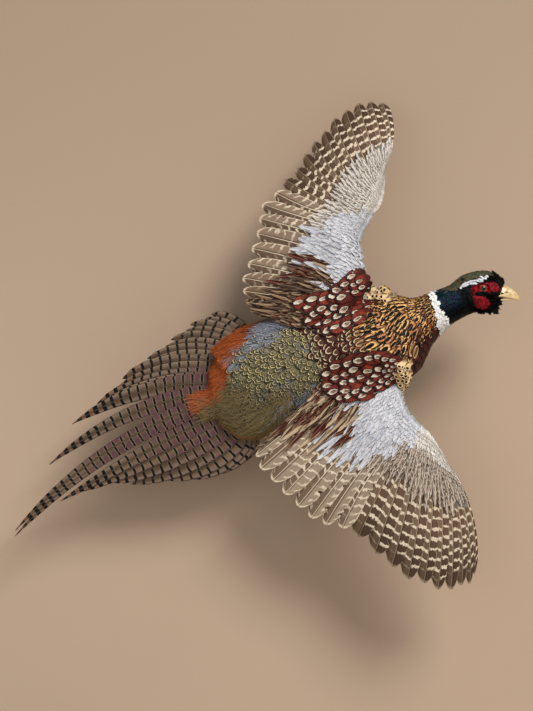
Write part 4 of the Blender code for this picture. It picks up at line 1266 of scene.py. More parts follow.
def tail_drawing(u, v, side, grain, tone):
    olive = mix(tone, (122, 102, 80), (90, 70, 54))
    olive = mix(between(side, 0.30, 0.05), olive, (80, 60, 42))
    olive = mix(grain * 0.35, olive, (134, 114, 92))
    olive = mix(between(side, 0.35, 0.62), olive, mix(grain, (112, 94, 82), (146, 128, 112)))
    # painted shade: both edges of every tail feather are darkened, as the shadow between neighbouring
    # feathers
    olive = mix(between(side, 0.80, 1.0), olive, mix(grain, (40, 28, 26), (84, 64, 54)))
    olive = mix(band(u, 0.80, 0.92, 0.04) * 0.45, olive, (178, 160, 122))
    near = between(v, 0.82, 0.50)
    web = mix(near * between(near * 0.5 + side, 0.62, 1.0), olive,
                mix(grain, (84, 58, 60), (122, 92, 92)))
    far = between(parts(object_place())[0], -0.22, -0.34)
    web = mix(between(v, 0.86, 0.96) * far * 0.5, web, (150, 108, 82))
    wobble = noise(combine(u * 0.8, v * 40.0, tone), 1.0, 2.0)
    phase = between(u, -0.02, 0.02) * 0.06 + tone * 3.0 + v / BAR_SPACING + wobble * 0.14 + side * 0.02
    wave = abs(maths("FRACT", phase) - 0.5)
    width = (between(v, 0.66, 0.95) * far * 0.14 + 0.122) * between(side, 1.12, 0.80)
    bar = between(wave - width, 0.028, -0.02)
    edge = between(wave - width, 0.12, 0.03) * between(v, 0.9, 0.6) * 0.35
    return mix(bar, mix(edge, web, (186, 168, 136)), (8, 6, 6))


tail_finish = plumage("tail_feather", tail_drawing, 0.6, 170, 0.06, relief=0.25, shaft=False, deepen=1.2)
shaft_tail = shaft_finish("shaft_tail", (74, 58, 42), (52, 40, 32))
print("tail finish ready, for feathers up to", LONGEST, "m")

# %% [markdown]
# ## Layers of the tail
# The middle pair lies on top and each next pair one layer deeper. Between neighbours lie extra feathers
# that end a little sooner, which close the fan on the bird's left. All of them share one function for
# their outline, and their shafts are thin half round strips on both faces, as on the wings.
# %% Vanes and shafts of the tail
TAIL_ROOT, TAIL_DEPTH, TAIL_LEAN, LAYER = -0.101, -0.1165, 0.05, 0.0010


def tail_line(row, s):
    """Middle of a tail feather at shares s of its length, and the direction across it."""
    root, chord, bow = np.array(row[:2]), np.array(row[2:4]) - row[:2], row[4]
    over = np.array((chord[1], -chord[0]))
    middle = root + chord * s[..., None] + over * bow * (4 * s * (1 - s))[..., None]
    run = chord + over * bow * (4 * (1 - 2 * s))[..., None]
    return middle, unit(np.stack((run[..., 1], -run[..., 0]), axis=-1))


def tail_rows():
    """Every long feather and, between neighbours, one that ends sooner: row, width, power, level."""
    for side in ("left", "right"):
        rows = TAIL_FEATHERS[side]
        for pair, row in enumerate(rows):
            yield row, TAIL_HALF_WIDTHS[pair], TAIL_TIP_POWERS[pair], 2.0 * pair + (side == "right")
        for pair in range(3, 9):
            for share in (0.33, 0.67) if side == "left" else ():
                extra = [a * share + b * (1 - share) for a, b in zip(rows[pair - 1], rows[pair])]
                extra[2:4] = [a + (b - a) * 0.97 for a, b in zip(extra[:2], extra[2:4])]
                yield extra, 0.0105, 3.0, 2.0 * pair - 1.0 - share


def tail_depth(x, level):
    """Y of a tail feather's middle, 0.4 mm in front of its layer."""
    return TAIL_DEPTH + level * LAYER - TAIL_LEAN * (x - TAIL_ROOT) - 0.0004


def tail_feather(row, half, power, level, length, rows, columns):
    """Points of one feather's web."""
    v, u = web_grid(rows, columns)
    width = half * np.minimum(1, 0.45 + 2.2 * v) * (1 - 0.95 * v ** power) ** (0.75 if length > 0.25 else 0.5)
    frays = rng.normal(0, 1.0, (rows, columns)) * np.abs(u) ** 4 * (v > 0.1) * 0.0016 / length
    middle, across = tail_line(row, np.clip(v - 0.04 * u ** 2 * v ** 8 + frays, 0, 1))
    if level > 8:
        width = width * (1 - 0.38 * v ** 2)
    flat = middle + across * (width * u)[..., None]
    y = tail_depth(flat[..., 0], level) + 0.0010 * u ** 2 * np.minimum(1, 3 * v)
    return np.stack((flat[..., 0], y, flat[..., 1]), axis=-1)


def tail_shaft(row, level, thin, face):
    """Points of one face of a feather's shaft."""
    t, w = web_grid(30, 5)
    t = t * SHAFT_END
    thin = thin * (1 - 0.8 * t)
    middle, across = tail_line(row, t + 0 * w)
    flat = middle + across * (w * thin)[..., None]
    y = tail_depth(flat[..., 0], level) + face * 0.7 * thin * (1 - w ** 2) + (0.0003 if face > 0 else 0)
    return np.stack((flat[..., 0], y, flat[..., 1]), axis=-1)


def tail_vanes(rows=46, columns=11):
    v, u = web_grid(rows, columns)
    points, maps, ribs = [], [], []
    for row, half, power, level in tail_rows():
        length = float(np.hypot(row[2] - row[0], row[3] - row[1]))
        points.append(tail_feather(row, half, power, level, length, rows, columns))
        reached = v - 0.04 * u ** 2 * v ** 8
        maps.append(vane_map(u / 2 + 0.5, 1 - (1 - reached) * length / LONGEST))
        rng.normal(0, 1.0, (30, 5))   # keeps the run of chances that the pieces below were made with
        ribs += [tail_shaft(row, level, 0.0009 + 0.0005 * (length > 0.25), face) for face in (-1, 1)]
    count = len(points)
    thick = (0.0006 * (1 - u ** 2) * (1 - 0.4 * v))[..., None]
    fan = sheets("tail_vanes", np.array(points), np.array(maps), side_by_side(count, 0.25),
                 (0.85 / count, 0.46), rng.random(count), all_facing(count, -1), tail_finish, thick)
    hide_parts(*[f"tail_{side}_{pair + 1}" for side in ("left", "right") for pair in range(9)])
    facing = np.tile(((0, -1.0, 0), (0, 1.0, 0)), (count, 1))
    across, along = np.linspace(0, 1, 5)[None, :], np.linspace(0, 1, 30)[:, None]
    sheets("tail_shafts", np.array(ribs), vane_map(across, along), side_by_side(2 * count, 0.5),
           (0.4 / count, 0.9), rng.random(2 * count), facing, shaft_tail)


tail_vanes()

# %% [markdown]
# ## Scapulars
# These bold feathers bridge the body and each wing's root, so neither surface alone can carry them. A
# height map of both, seen from the back, is blurred until it runs smoothly over the joint, like cloth
# laid over it. The feathers then lie on that map, fanning out from each shoulder.
# %% Height map over body and wing roots
CELL, CORNER, CELLS = 0.002, -0.13, (190, 150)


def height_map():
    """Y of the coat's highest points in square cells, blurred over the gaps."""
    t, turn = np.meshgrid(np.linspace(0, 13, 700), np.linspace(0, 2 * math.pi, 500))
    clouds = [on_body(t, turn, 0.0012).reshape(-1, 3)]
    for side in WINGS:
        line, share = np.meshgrid(np.linspace(0, 14, 500), np.linspace(0, 0.75, 500))
        clouds.append(wings[side](line, share, -1, 0.0012).reshape(-1, 3))
    cloud = np.concatenate(clouds)
    i, j = ((cloud[:, ::2].T - CORNER) / CELL).round().astype(int)
    good = (i >= 0) & (i < CELLS[0]) & (j >= 0) & (j < CELLS[1])
    grid = np.full(CELLS, np.inf)
    np.minimum.at(grid, (i[good], j[good]), cloud[good, 1])
    known = np.isfinite(grid)
    blurred, weight = np.where(known, grid, 0), known.astype(float)
    for axis in (0, 1) * 9:
        blurred = (np.roll(blurred, 1, axis) + 2 * blurred + np.roll(blurred, -1, axis)) / 4
        weight = (np.roll(weight, 1, axis) + 2 * weight + np.roll(weight, -1, axis)) / 4
    smooth = np.where(weight > 1e-4, blurred / np.maximum(weight, 1e-4), -0.14)
    return np.minimum(smooth, np.where(known, grid + 0.0015, np.inf))


HEIGHTS = height_map()


def back_height(x, z):
    """Y of the cloth at places seen from the back, read between the cells."""
    i, j = (np.clip((c - CORNER) / CELL, 0, n - 2) for c, n in zip((x, z), CELLS))
    a, b = np.floor(i).astype(int), np.floor(j).astype(int)
    s, t = i - a, j - b
    return ((HEIGHTS[a, b] * (1 - s) + HEIGHTS[a + 1, b] * s) * (1 - t)
            + (HEIGHTS[a, b + 1] * (1 - s) + HEIGHTS[a + 1, b + 1] * s) * t)


print("height map from", round(float(HEIGHTS.min()), 3), "to", round(float(HEIGHTS.max()), 3))

# %% [markdown]
# ## Laying the scapulars
# Roots are thrown at random inside an outline, and one that falls too close to another is dropped, so
# the feathers are spread evenly and yet stand in no rows. Smaller ones grow near the shoulder. Two
# small patches of pale mantle feathers then cover the joints in front.
# %% Scapular feathers over both shoulders
FAN_FROM = {"left": (0.106, 0.112), "right": (0.140, -0.010)}
TAILWARDS = np.array((-0.93, -0.37))
FEATHER_STEP = np.array((0.0122, 0.0120))   # along and across the lie


def drape(x, z, aim, length, half_width, shape, root=-0.0010, tip=0.0036, cup=0.0014, fray=0.04, stiff=0.25):
    """Points of feathers rooted at (x, z) that lie on the height map and point along aim."""
    p = length[:, None, None] * frayed(shape[0], len(x), fray)
    q = half_width[:, None, None] * shape[1][None]
    x, z, ax, az = (c[:, None, None] for c in (x, z, *aim.T))
    px, pz = x + ax * p - az * q, z + az * p + ax * q
    v, u = shape[2][..., 1][None], shape[2][..., 0][None] * 2 - 1
    cloth = stiff * back_height(x, z) + (1 - stiff) * back_height(px, pz)
    lift = root + (tip - root) * v - cup * u ** 2 * v
    return np.stack((px, cloth - lift, pz), axis=-1)


SCALE_SHAPE = blade(10, 9, 0.30, 0.10, 3.0, 3.0)


def scatter(outline, size_at):
    """Places inside an outline, none nearer to another than its size allows along and across the lie."""
    tries = rng.uniform(np.min(outline, axis=0), np.max(outline, axis=0), (9000, 2))
    tries = tries[inside(outline, tries[:, 0], tries[:, 1])]
    across = np.array((TAILWARDS[1], -TAILWARDS[0]))
    kept = tries[:1]
    for place in tries[1:]:
        gap = kept - place
        along_gap, across_gap = gap @ TAILWARDS / FEATHER_STEP[0], gap @ across / FEATHER_STEP[1]
        if np.hypot(along_gap, across_gap).min() > size_at(place[None])[0]:
            kept = np.vstack((kept, place))
    return kept


def scapulars(side):
    source = np.array(FAN_FROM[side])

    def size_at(place):
        return np.clip(0.30 + np.hypot(*(place - source).T) / 0.085, 0.46, 1.0)

    tip = scatter(SCAPULAR_OUTLINE[side], size_at)
    small, count = size_at(tip), len(tip)
    aim = unit(0.40 * unit(tip - source) + 0.60 * TAILWARDS + rng.normal(0, 0.10, (count, 2)))
    length = 0.0370 * small * rng.uniform(0.9, 1.1, count)
    x, z = (tip - aim * length[:, None] * 0.85).T
    points = drape(x, z, aim, length, 0.0106 * small, SCALE_SHAPE, root=0.0002,
                   tip=0.0050 + rng.uniform(0, 0.0016, (count, 1, 1)), fray=0.045)
    where = (tip - tip.min(axis=0)) / np.ptp(tip, axis=0) * 0.9 + 0.05
    patch = 0.6 * 0.9 * FEATHER_STEP / np.ptp(tip, axis=0) * small[:, None]
    sheets(f"scapulars_{side}", points, SCALE_SHAPE[2], where, patch, rng.random(count),
           all_facing(count, -1), scapular_finish)


for side in FAN_FROM:
    scapulars(side)


def shoulder_tuft(name, middle, reach, aim, length, half_width, finish):
    """A small free-standing patch of feathers draped over the joint."""
    x, z = np.meshgrid(np.arange(-5, 6) * 0.0058, np.arange(-6, 7) * 0.0054, indexing="ij")
    chosen = np.hypot(x / reach[0], z / reach[1]) < 1
    x, z = middle[0] + x[chosen], middle[1] + z[chosen]
    count = len(x)
    x, z = x + rng.normal(0, 0.0012, count), z + rng.normal(0, 0.0012, count)
    way = unit(np.array(aim) + rng.normal(0, 0.16, (count, 2)))
    long = length * rng.uniform(0.9, 1.1, count)
    points = drape(x, z, way, long, np.full(count, half_width), ROUND, stiff=0.75)
    where = np.stack(((x - x.min()) / np.ptp(x), (z - z.min()) / np.ptp(z)), axis=1) * 0.8 + 0.1
    sheets(name, points, ROUND[2], where, (0.09, 0.09), rng.random(count), all_facing(count, -1), finish)


shoulder_tuft("coat_mantle_shoulder", (0.108, 0.1050), (0.024, 0.0090), (-0.86, 0.05), 0.018, 0.0056,
              pale_mantle_finish)
shoulder_tuft("coat_shoulder_front", (0.141, -0.006), (0.010, 0.021), (-0.35, -0.93), 0.017, 0.0058,
              pale_mantle_finish)

# %% [markdown]
# ## Loose plumes of the rump
# Behind the crescents the barbs hang apart like hair: blue grey on the bird's left, olive with a little
# blue grey on its right, and rust red over the tail's root. Each plume is a bundle of thin strips that
# part as they run. Their number makes the softness, so every strip has only a few faces.
# %% Finish and strands of the plumes
def strand_finish(name, dark, light, tip):
    f = Finish(name, 0.6, Specular_IOR_Level=0.2)
    v, tone = web_place()[1], attribute("tone")
    return f.done(mix(between(v, 0.55, 1.0), mix(tone, dark, light), mix(tone, tip, light)))


olive_hair = strand_finish("olive_plume", (26, 21, 14), (134, 118, 78), (104, 82, 48))
blue_hair = strand_finish("blue_grey_plume", (88, 94, 106), (158, 164, 178), (112, 118, 128))
rust_hair = strand_finish("rust_plume", (44, 18, 10), (192, 98, 44), (160, 76, 34))
STRAND = blade(5, 2, 0.0, 0.55, 8.0)


def roots_between(t_range, spacing, degrees, jitter):
    """Rows of roots between two stations and two turns given in degrees."""
    return row_places(*t_range, spacing, spacing, tuple(math.radians(d) for d in degrees), jitter)


def plumes(name, t_range, spacing, degrees, finish, length, strands=10, fan=0.35, lift=0.0042,
           keep=None, lean=0.0):
    """Bundles of thin strips from roots that keep allows. fan spreads a bundle, lean turns it outwards."""
    t, turn, cells = roots_between(t_range, spacing, degrees, 0.4)
    if keep is not None:
        chosen = keep(t, turn)
        t, turn, cells = t[chosen], turn[chosen], cells[chosen]
    where = body_map(t, turn, cells)[0]
    size = cells * rng.uniform(-0.5, 0.5, (strands, len(t), 2))
    t_all, turn_all = (t + size[..., 0]).ravel(), (turn + size[..., 1]).ravel()
    bundle = rng.normal(0, 0.14, len(t))
    heading = (bundle[None] + rng.normal(0, fan / 2, (strands, len(t)))).ravel()
    heading = heading + lean * (turn_all - math.pi / 2) / (math.pi / 2)
    count = len(t_all)
    long = length * rng.uniform(0.7, 1.15, count)
    points = body_vanes(t_all, turn_all, long, 0.00034, STRAND, heading, root=-0.0004,
                        tip=lift * rng.uniform(0.5, 1.3, count), cup=0.0, fray=0.0)
    curl = rng.normal(0, 0.0010, (count, 1, 1, 3)) * (np.linspace(0, 1, 5) ** 2)[None, :, None, None]
    shade = np.repeat(rng.random(len(t))[None], strands, 0) * 0.45 + rng.random((strands, len(t))) * 0.55
    sheets(name, points + curl, STRAND[2], np.tile(where, (strands, 1)), 0.003, shade.ravel(),
           outward_on_body(t_all, turn_all), finish)


def rear(t, turn):
    """More plumes towards the tail and on the bird's right, which hangs lower."""
    return rng.random(len(t)) < np.clip((3.1 + 1.2 * (np.degrees(turn) > 118) - t) / 1.4, 0, 1)


def over_tail(t, turn):
    """The rust fringe, broad on the bird's left and gone on its right."""
    edge = rust_edge(turn)
    thins = np.clip((112 - np.degrees(turn)) / 20, 0.05, 1)
    reach = edge + np.where(edge > 0.3, 0.9, 0.1) + rng.normal(0, 0.15, len(t))
    return (t < reach) & (rng.random(len(t)) < thins)


def blue_side(t, turn):
    """The blue grey sheaf, thinning out towards the middle of the back."""
    return (t > rust_edge(turn) + 1.0) & (rng.random(len(t)) < np.clip(2.0 - np.degrees(turn) / 32, 0, 1))


def every_other(t, turn):
    return rng.random(len(t)) < 0.5


plumes("plumes_olive", (0.1, 4.4), 0.0046, (72, 176), olive_hair, 0.029, 11, 0.45, 0.0052, rear, 0.35)
plumes("plumes_blue", (1.2, 5.7), 0.0048, (0, 84), blue_hair, 0.021, keep=blue_side, lean=0.3)
plumes("plumes_blue_low", (2.6, 5.1), 0.0050, (130, 174), blue_hair, 0.022, 8, keep=every_other)
plumes("plumes_rust", (0.1, 4.7), 0.0046, (0, 178), rust_hair, 0.033, 11, 0.42, 0.0060, over_tail, 0.25)
plumes("plumes_rust_flank", (0.8, 3.0), 0.0046, (160, 198), rust_hair, 0.022, fan=0.4)

# %% [markdown]
# ## The bare red skin of the face
# A cock's face is covered with velvety red skin: a lobe in front of the eye, a ring round it and a
# wattle below. The real skin is made of tiny papillae. A fine grid follows the head wherever the mask
# says red, rises out of the feathers, and dips at the eye to meet the lids.
# %% Red skin on both cheeks
EYE_Y, EYE_RADIUS, MIDDLE_Y = -0.1588, 0.0068, -0.145
LID_GAP = 0.0003
APERTURE = (0.0062, 0.0042)
TILT = math.radians(-6)


def round_eye(x, z):
    """How far a place is from the eye's middle: 1 on the edge of the opening between the lids."""
    x, z = x - EYE[0], z - EYE[1]
    along, up = x * math.cos(TILT) + z * math.sin(TILT), z * math.cos(TILT) - x * math.sin(TILT)
    return np.hypot(along / APERTURE[0], up / APERTURE[1])


def over_ball(x, z, least):
    """How far the inner face of the lids stands off the eye's middle, at places off that middle."""
    return np.sqrt(np.maximum((EYE_RADIUS + LID_GAP) ** 2 - x ** 2 - z ** 2, least))


def smooth(value, low, high):
    """0 at low, 1 at high, which may be the smaller."""
    s = np.clip((value - low) / (high - low), 0, 1)
    return s * s * (3 - 2 * s)


def cheek_grid():
    """Points of the right side of the head, which of them are skin, and how far each papilla rises."""
    t, turn = np.meshgrid(np.linspace(14.1, 17.75, 150), np.radians(np.linspace(92, 268, 230)), indexing="ij")
    flat = on_body(t, turn, 0.0)
    x, z = flat[..., 0], flat[..., 2]
    depth = red_depth(x, z)
    bumps = np.zeros(x.shape)
    for px, pz in rng.uniform((0.232, 0.084), (0.284, 0.128), (1500, 2)):
        bumps = np.maximum(bumps, np.exp(-((x - px) / 0.00075) ** 2 - ((z - pz) / 0.00045) ** 2))
    folds = np.sin(900 * (z - 0.35 * (x - EYE[0])) + 2.2 * np.sin(420 * x)) * smooth(depth, 0, 0.3)
    lift = -0.0012 + 0.0030 * smooth(depth, -0.04, 0.34) + 0.00030 * bumps + 0.00022 * folds
    points = on_body(t, turn, lift - 0.0030 * smooth(round_oval(x, z, DARK_SLIP), 1.35, 0.85))
    gap = round_eye(x, z)
    rim = EYE_Y - over_ball(x - EYE[0], z - EYE[1], 1e-6)
    share = smooth(gap, 1.0, 1.75)
    points[..., 1] = np.where(gap < 1.75, rim * (1 - share) + points[..., 1] * share, points[..., 1])
    return points, (depth > -0.10) & (gap > 0.97), bumps


def cheek_piece(name, points, shown, bumps, finish):
    """Right cheek and its mirror as one mesh, only where the mask shows."""
    quads = quads_of(np.arange(shown.size).reshape(shown.shape))[quads_of(shown).all(axis=-1)]
    used, flat = np.unique(quads, return_inverse=True)
    quads = flat.reshape(-1, 4)
    one = points.reshape(-1, 3)[used]
    other = one * (1, -1, 1) + (0, 2 * MIDDLE_Y, 0)
    a, b, c = one[quads[0, :3]]
    if np.cross(b - a, c - b)[1] > 0:
        quads = quads[:, ::-1]
    faces = np.concatenate((quads, quads[:, ::-1] + len(one)))
    mesh = bpy.data.meshes.new(name)
    mesh.from_pydata(np.concatenate((one, other)).tolist(), [], faces.tolist())
    shade = mesh.attributes.new("bump", "FLOAT", "POINT")
    shade.data.foreach_set("value", np.tile(bumps.ravel()[used], 2).astype(np.float32))
    place = np.concatenate((one[:, ::2], other[:, ::2] + (0.06, 0)))
    layer = mesh.uv_layers.new(name="OFBake")
    unrolled = (place[faces.ravel()] - place.min(axis=0)) / np.ptp(place, axis=0).max()
    layer.data.foreach_set("uv", unrolled.astype(np.float32).ravel())
    print(name, 2 * len(faces), "triangles")
    return placed(name, mesh, finish)


red = Finish("red_skin", 0.55, Subsurface_Weight=0.05, Specular_IOR_Level=0.14)
at = object_place()
blood = mix(between(noise(at, 260.0, 3.0), 0.35, 0.68), (96, 3, 13), (184, 14, 26))
# painted shade: the skin between the papillae is painted darker than their tops
blood = mix(between(attribute("bump"), 0.2, 0.95), mix(0.6, blood, (44, 2, 8)), blood)
specks = between(noise(at, 420.0, 4.0), 0.60, 0.68)
blood = mix(specks * 0.7, blood, (26, 4, 8))
# painted highlights: pale pink flecks over the red, from the same fine noise that gives the bumps
fine = noise(at, 1500.0, 2.0)
red.done(mix(between(fine, 0.62, 0.78), blood, (196, 66, 66)), fine, 0.5, 0.0003)
cheeks = cheek_piece("red_face_skin", *cheek_grid(), red.material)
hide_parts("wattle_left", "wattle_right")

# %% [markdown]
# ## Eyes
# Taxidermy eyes are glass: the iris is painted behind a clear front, so one polished ball does for both.
# It stands as deep as a real one, with the lids closed over its edge. Each lid is a soft roll of skin
# that follows the ball.
# %% Eyes and lids
def ring_distance(centre, stretch=1.0):
    """Distance from a point in the plane of the face, in metres, and the angle round it."""
    x, _, z = parts(object_place())
    x, z = x - centre[0], (z - centre[1]) * stretch
    return maths("SQRT", x * x + z * z), maths("ARCTAN2", z, x)


iris = Finish("eye_glass", 0.05, Specular_IOR_Level=0.35, Coat_Weight=0.25, Coat_Roughness=0.02)
away, angle = ring_distance(EYE)
around_pupil = combine(maths("COSINE", angle) * 9.0, maths("SINE", angle) * 9.0, away * 300.0)
ember = mix(noise(around_pupil, 1.6, 2.0), (100, 28, 14), (172, 68, 30))
ember = mix(between(away, 0.0050, 0.0064), ember, (72, 20, 12))
iris.done(mix(between(away, 0.0037, 0.0033), ember, (3, 3, 4)))

lid_skin = Finish("lid_skin", 0.4, Subsurface_Weight=0.1)
lid_skin.done(mix(noise(object_place(), 700.0), (150, 44, 32), (214, 112, 80)))


def closed_piece(name, points, faces, finish):
    """A closed mesh with its faces turned outwards, from a grid of points."""
    mesh = bpy.data.meshes.new(name)
    mesh.from_pydata(points.reshape(-1, 3).tolist(), [], faces)
    shaped = bmesh.new()
    shaped.from_mesh(mesh)
    bmesh.ops.recalc_face_normals(shaped, faces=shaped.faces)
    shaped.to_mesh(mesh)
    shaped.free()
    return placed(name, mesh, finish)


def ring_mesh(name, points, finish):
    """A closed tube: points (around the ring, around the tube, 3)."""
    cell = np.arange(points.shape[0] * points.shape[1]).reshape(points.shape[:2])
    after = np.roll(cell, -1, 0)
    faces = np.stack((cell, np.roll(cell, -1, 1), np.roll(after, -1, 1), after), axis=-1)
    return closed_piece(name, points, faces.reshape(-1, 4).tolist(), finish)


def pick(*pieces):
    """Selects these pieces and nothing else, the first one active."""
    bpy.ops.object.select_all(action="DESELECT")
    for piece in pieces:
        piece.select_set(True)
    if pieces:
        bpy.context.view_layer.objects.active = pieces[0]


for side, y, out in (("right", EYE_Y, -1), ("left", 2 * MIDDLE_Y - EYE_Y, 1)):
    pick()
    bpy.ops.mesh.primitive_uv_sphere_add(segments=40, ring_count=24, radius=EYE_RADIUS,
                                         location=(EYE[0], y, EYE[1]))
    ball = bpy.context.object
    ball.name = f"glass_eye_{side}"
    bpy.ops.object.transform_apply(location=True)
    bpy.ops.object.shade_smooth()
    ball.data.materials.append(iris.material)
    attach(ball, "root")
    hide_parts(f"eye_{side}")
    around = np.linspace(0, 2 * math.pi, 56, endpoint=False)[:, None]
    tube = np.linspace(0, 2 * math.pi, 10, endpoint=False)[None, :]
    corner = 1 + 0.16 * np.cos(around) ** 6
    thick = 0.00062 + 0.00020 * np.maximum(np.sin(around), 0) - 0.0002 * np.abs(np.cos(around)) ** 4
    grow = 1.06 + thick * np.cos(tube) / 0.0050
    dx, dz = APERTURE[0] * corner * np.cos(around) * grow, APERTURE[1] * np.sin(around) * grow
    x, z = dx * math.cos(TILT) - dz * math.sin(TILT), dx * math.sin(TILT) + dz * math.cos(TILT)
    lid_y = y + out * (over_ball(x, z, 2.0e-6) + thick * np.sin(tube))
    points = np.stack((EYE[0] + x, lid_y, EYE[1] + z), axis=-1)
    ring_mesh(f"eyelids_{side}", points, lid_skin.material)
print("eyes and lids made")

# %% [markdown]
# ## The bill
# The upper half is a horn sheath that hooks over the lower one. Beside its root lies the operculum, a
# swollen lid over the nostril's slit. The horn is nearly opaque, ivory yellow and polished. Each half is
# lofted along its outline, and the swelling is pushed out of the same surface, so no seam shows.
# %% Bill
CULMEN = [(0.2770, 0.1185), (0.2823, 0.1196), (0.2881, 0.1189), (0.2945, 0.1166), (0.3009, 0.1131),
          (0.3062, 0.1084), (0.3102, 0.1026), (0.3123, 0.0972), (0.3122, 0.0952)]
TOMIUM = [(0.2760, 0.1006), (0.2800, 0.1008), (0.2850, 0.1008), (0.2900, 0.1003), (0.2960, 0.0995),
          (0.3015, 0.0984), (0.3065, 0.0972), (0.3100, 0.0958), (0.3119, 0.0945)]
WIDTHS = [0.0082, 0.0080, 0.0074, 0.0066, 0.0055, 0.0042, 0.0028, 0.0014, 0.0004]
CHIN = [(0.2760, 0.0955), (0.2800, 0.0952), (0.2850, 0.0955), (0.2900, 0.0960), (0.2950, 0.0966),
        (0.3000, 0.0968), (0.3040, 0.0966)]
CHIN_TOP = [(0.2760, 0.1002), (0.2800, 0.1003), (0.2850, 0.1002), (0.2900, 0.0996), (0.2950, 0.0988),
            (0.3000, 0.0977), (0.3040, 0.0968)]
CHIN_WIDTHS = [0.0074, 0.0070, 0.0064, 0.0056, 0.0045, 0.0030, 0.0006]


def lofted(rows, places):
    values = np.array(rows, float).reshape(len(rows), -1)
    return curve([(i, *row) for i, row in enumerate(values)])(places)


def swelling(x, z, above):
    """How far the upper half stands out at the operculum, its slit, and the flare at its root."""
    swell = np.exp(-((x - 0.2905) / 0.0034) ** 2 - ((z - 0.1112) / 0.0022) ** 2)
    slit = np.exp(-((x - 0.2912) / 0.0040) ** 2 - ((z - 0.1084) / 0.0008) ** 2)
    flare = np.interp(x, (0.2755, 0.2800, 0.2835, 0.2870, 0.2905, 0.2950),
                      (0.0078, 0.0068, 0.0050, 0.0030, 0.0010, 0))
    tall = np.interp(x, (0.2755, 0.2800, 0.2835, 0.2870), (0.0018, 0.0045, 0.0075, 0.0100))
    return 0.0011 * swell - 0.0009 * slit + flare * smooth(above, tall, 0.3 * tall)


def bill_half(name, top, bottom, widths, finish, lobe, sections=34, around=28):
    """One half of the bill, lofted from its upper and lower line and its half widths."""
    s = np.linspace(0, len(top) - 1, sections)
    high, low, half = lofted(top, s), lofted(bottom, s), lofted(widths, s)[:, 0]
    angle = np.linspace(-math.pi / 2, 1.5 * math.pi, around, endpoint=False)
    rise = np.where(np.sin(angle) > 0, np.abs(np.sin(angle)) ** 0.9, 0.10 * np.sin(angle))
    rise, side = (rise + 0.10) / 1.10, np.cos(angle)
    x = low[:, :1] + (high - low)[:, :1] * rise[None]
    z = low[:, 1:] + (high - low)[:, 1:] * rise[None]
    y = half[:, None] * np.sign(side) * np.abs(side) ** 0.85
    if lobe:
        y = y + np.sign(y) * swelling(x, z, z - low[:, 1:])
    points = np.stack((x, MIDDLE_Y + y, z), axis=-1)
    cell = np.arange(sections * around).reshape(sections, around)
    beside = np.roll(cell, -1, 1)
    faces = np.stack((cell[:-1], beside[:-1], beside[1:], cell[1:]), axis=-1).reshape(-1, 4).tolist()
    faces += [cell[0].tolist(), cell[-1].tolist()[::-1]]
    return closed_piece(name, points, faces, finish)


horn = Finish("bill_horn", 0.32, Coat_Weight=0.3, Coat_Roughness=0.25, Subsurface_Weight=0.08)
at = object_place()
streaks = noise(stretched(at, (120, 500, 420)), 1.0, 3.0)
ivory = mix(between(streaks, 0.3, 0.7), (190, 158, 102), (216, 192, 140))
ivory = mix(between(parts(at)[0], 0.306, 0.313), ivory, (184, 150, 84))
# painted shade: the nostril's slit is painted dark, deeper than the shallow groove cut in the horn
nostril = ring_distance((0.2912, 0.1083), 4.5)[0]
ivory = mix(between(nostril, 0.0040, 0.0028), ivory, (96, 66, 34))
horn.done(ivory, streaks, 0.15, 0.0003)
dull_horn = Finish("bill_horn_lower", 0.4)
dull = noise(stretched(object_place(), (150, 500, 400)), 1.0)
dull_horn.done(mix(dull, (166, 138, 80), (196, 168, 110)), dull, 0.15, 0.0003)
upper = bill_half("bill_upper_horn", CULMEN, TOMIUM, WIDTHS, horn.material, True)
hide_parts("bill_upper")
lower = bill_half("bill_lower_horn", CHIN_TOP, CHIN, CHIN_WIDTHS, dull_horn.material, False)
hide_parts("bill_lower")
print("bill made")

# %% [markdown]
# ## Tufts of the face
# A few feathers stand up from the rest: the black tuft on the forehead, a ragged edge under the chin and
# bill, and the rear of the crown. Finer whiskers stand clear of the skin at the chin, the jaw and the
# forehead. They break the outline of the head as on a real bird.
# %% Tufts
def tuft(name, t_range, degrees, spacing, length, lift, finish):
    """Short feathers whose tips rise off the body by about lift."""
    t, turn, cells = roots_between(t_range, spacing, degrees, 0.3)
    size = rng.uniform(0.7, 1.2, len(t))
    points = body_vanes(t, turn, length * size, 0.0016, SMALL, ragged(len(t), 0.25),
                        tip=lift * size, fray=0.12)
    body_sheets(name, points, SMALL, t, turn, cells, finish)


tuft("tuft_forehead", (16.9, 17.85), (60, 130), 0.0020, 0.0070, 0.0036, face_finish)
tuft("tuft_chin", (14.4, 16.6), (232, 300), 0.0026, 0.0095, 0.0040, face_finish)
tuft("tuft_under_bill", (17.0, 18.6), (200, 340), 0.0022, 0.0090, 0.0048, face_finish)
tuft("tuft_nape", (12.3, 14.4), (75, 120), 0.0034, 0.0080, 0.0018, crown_finish)


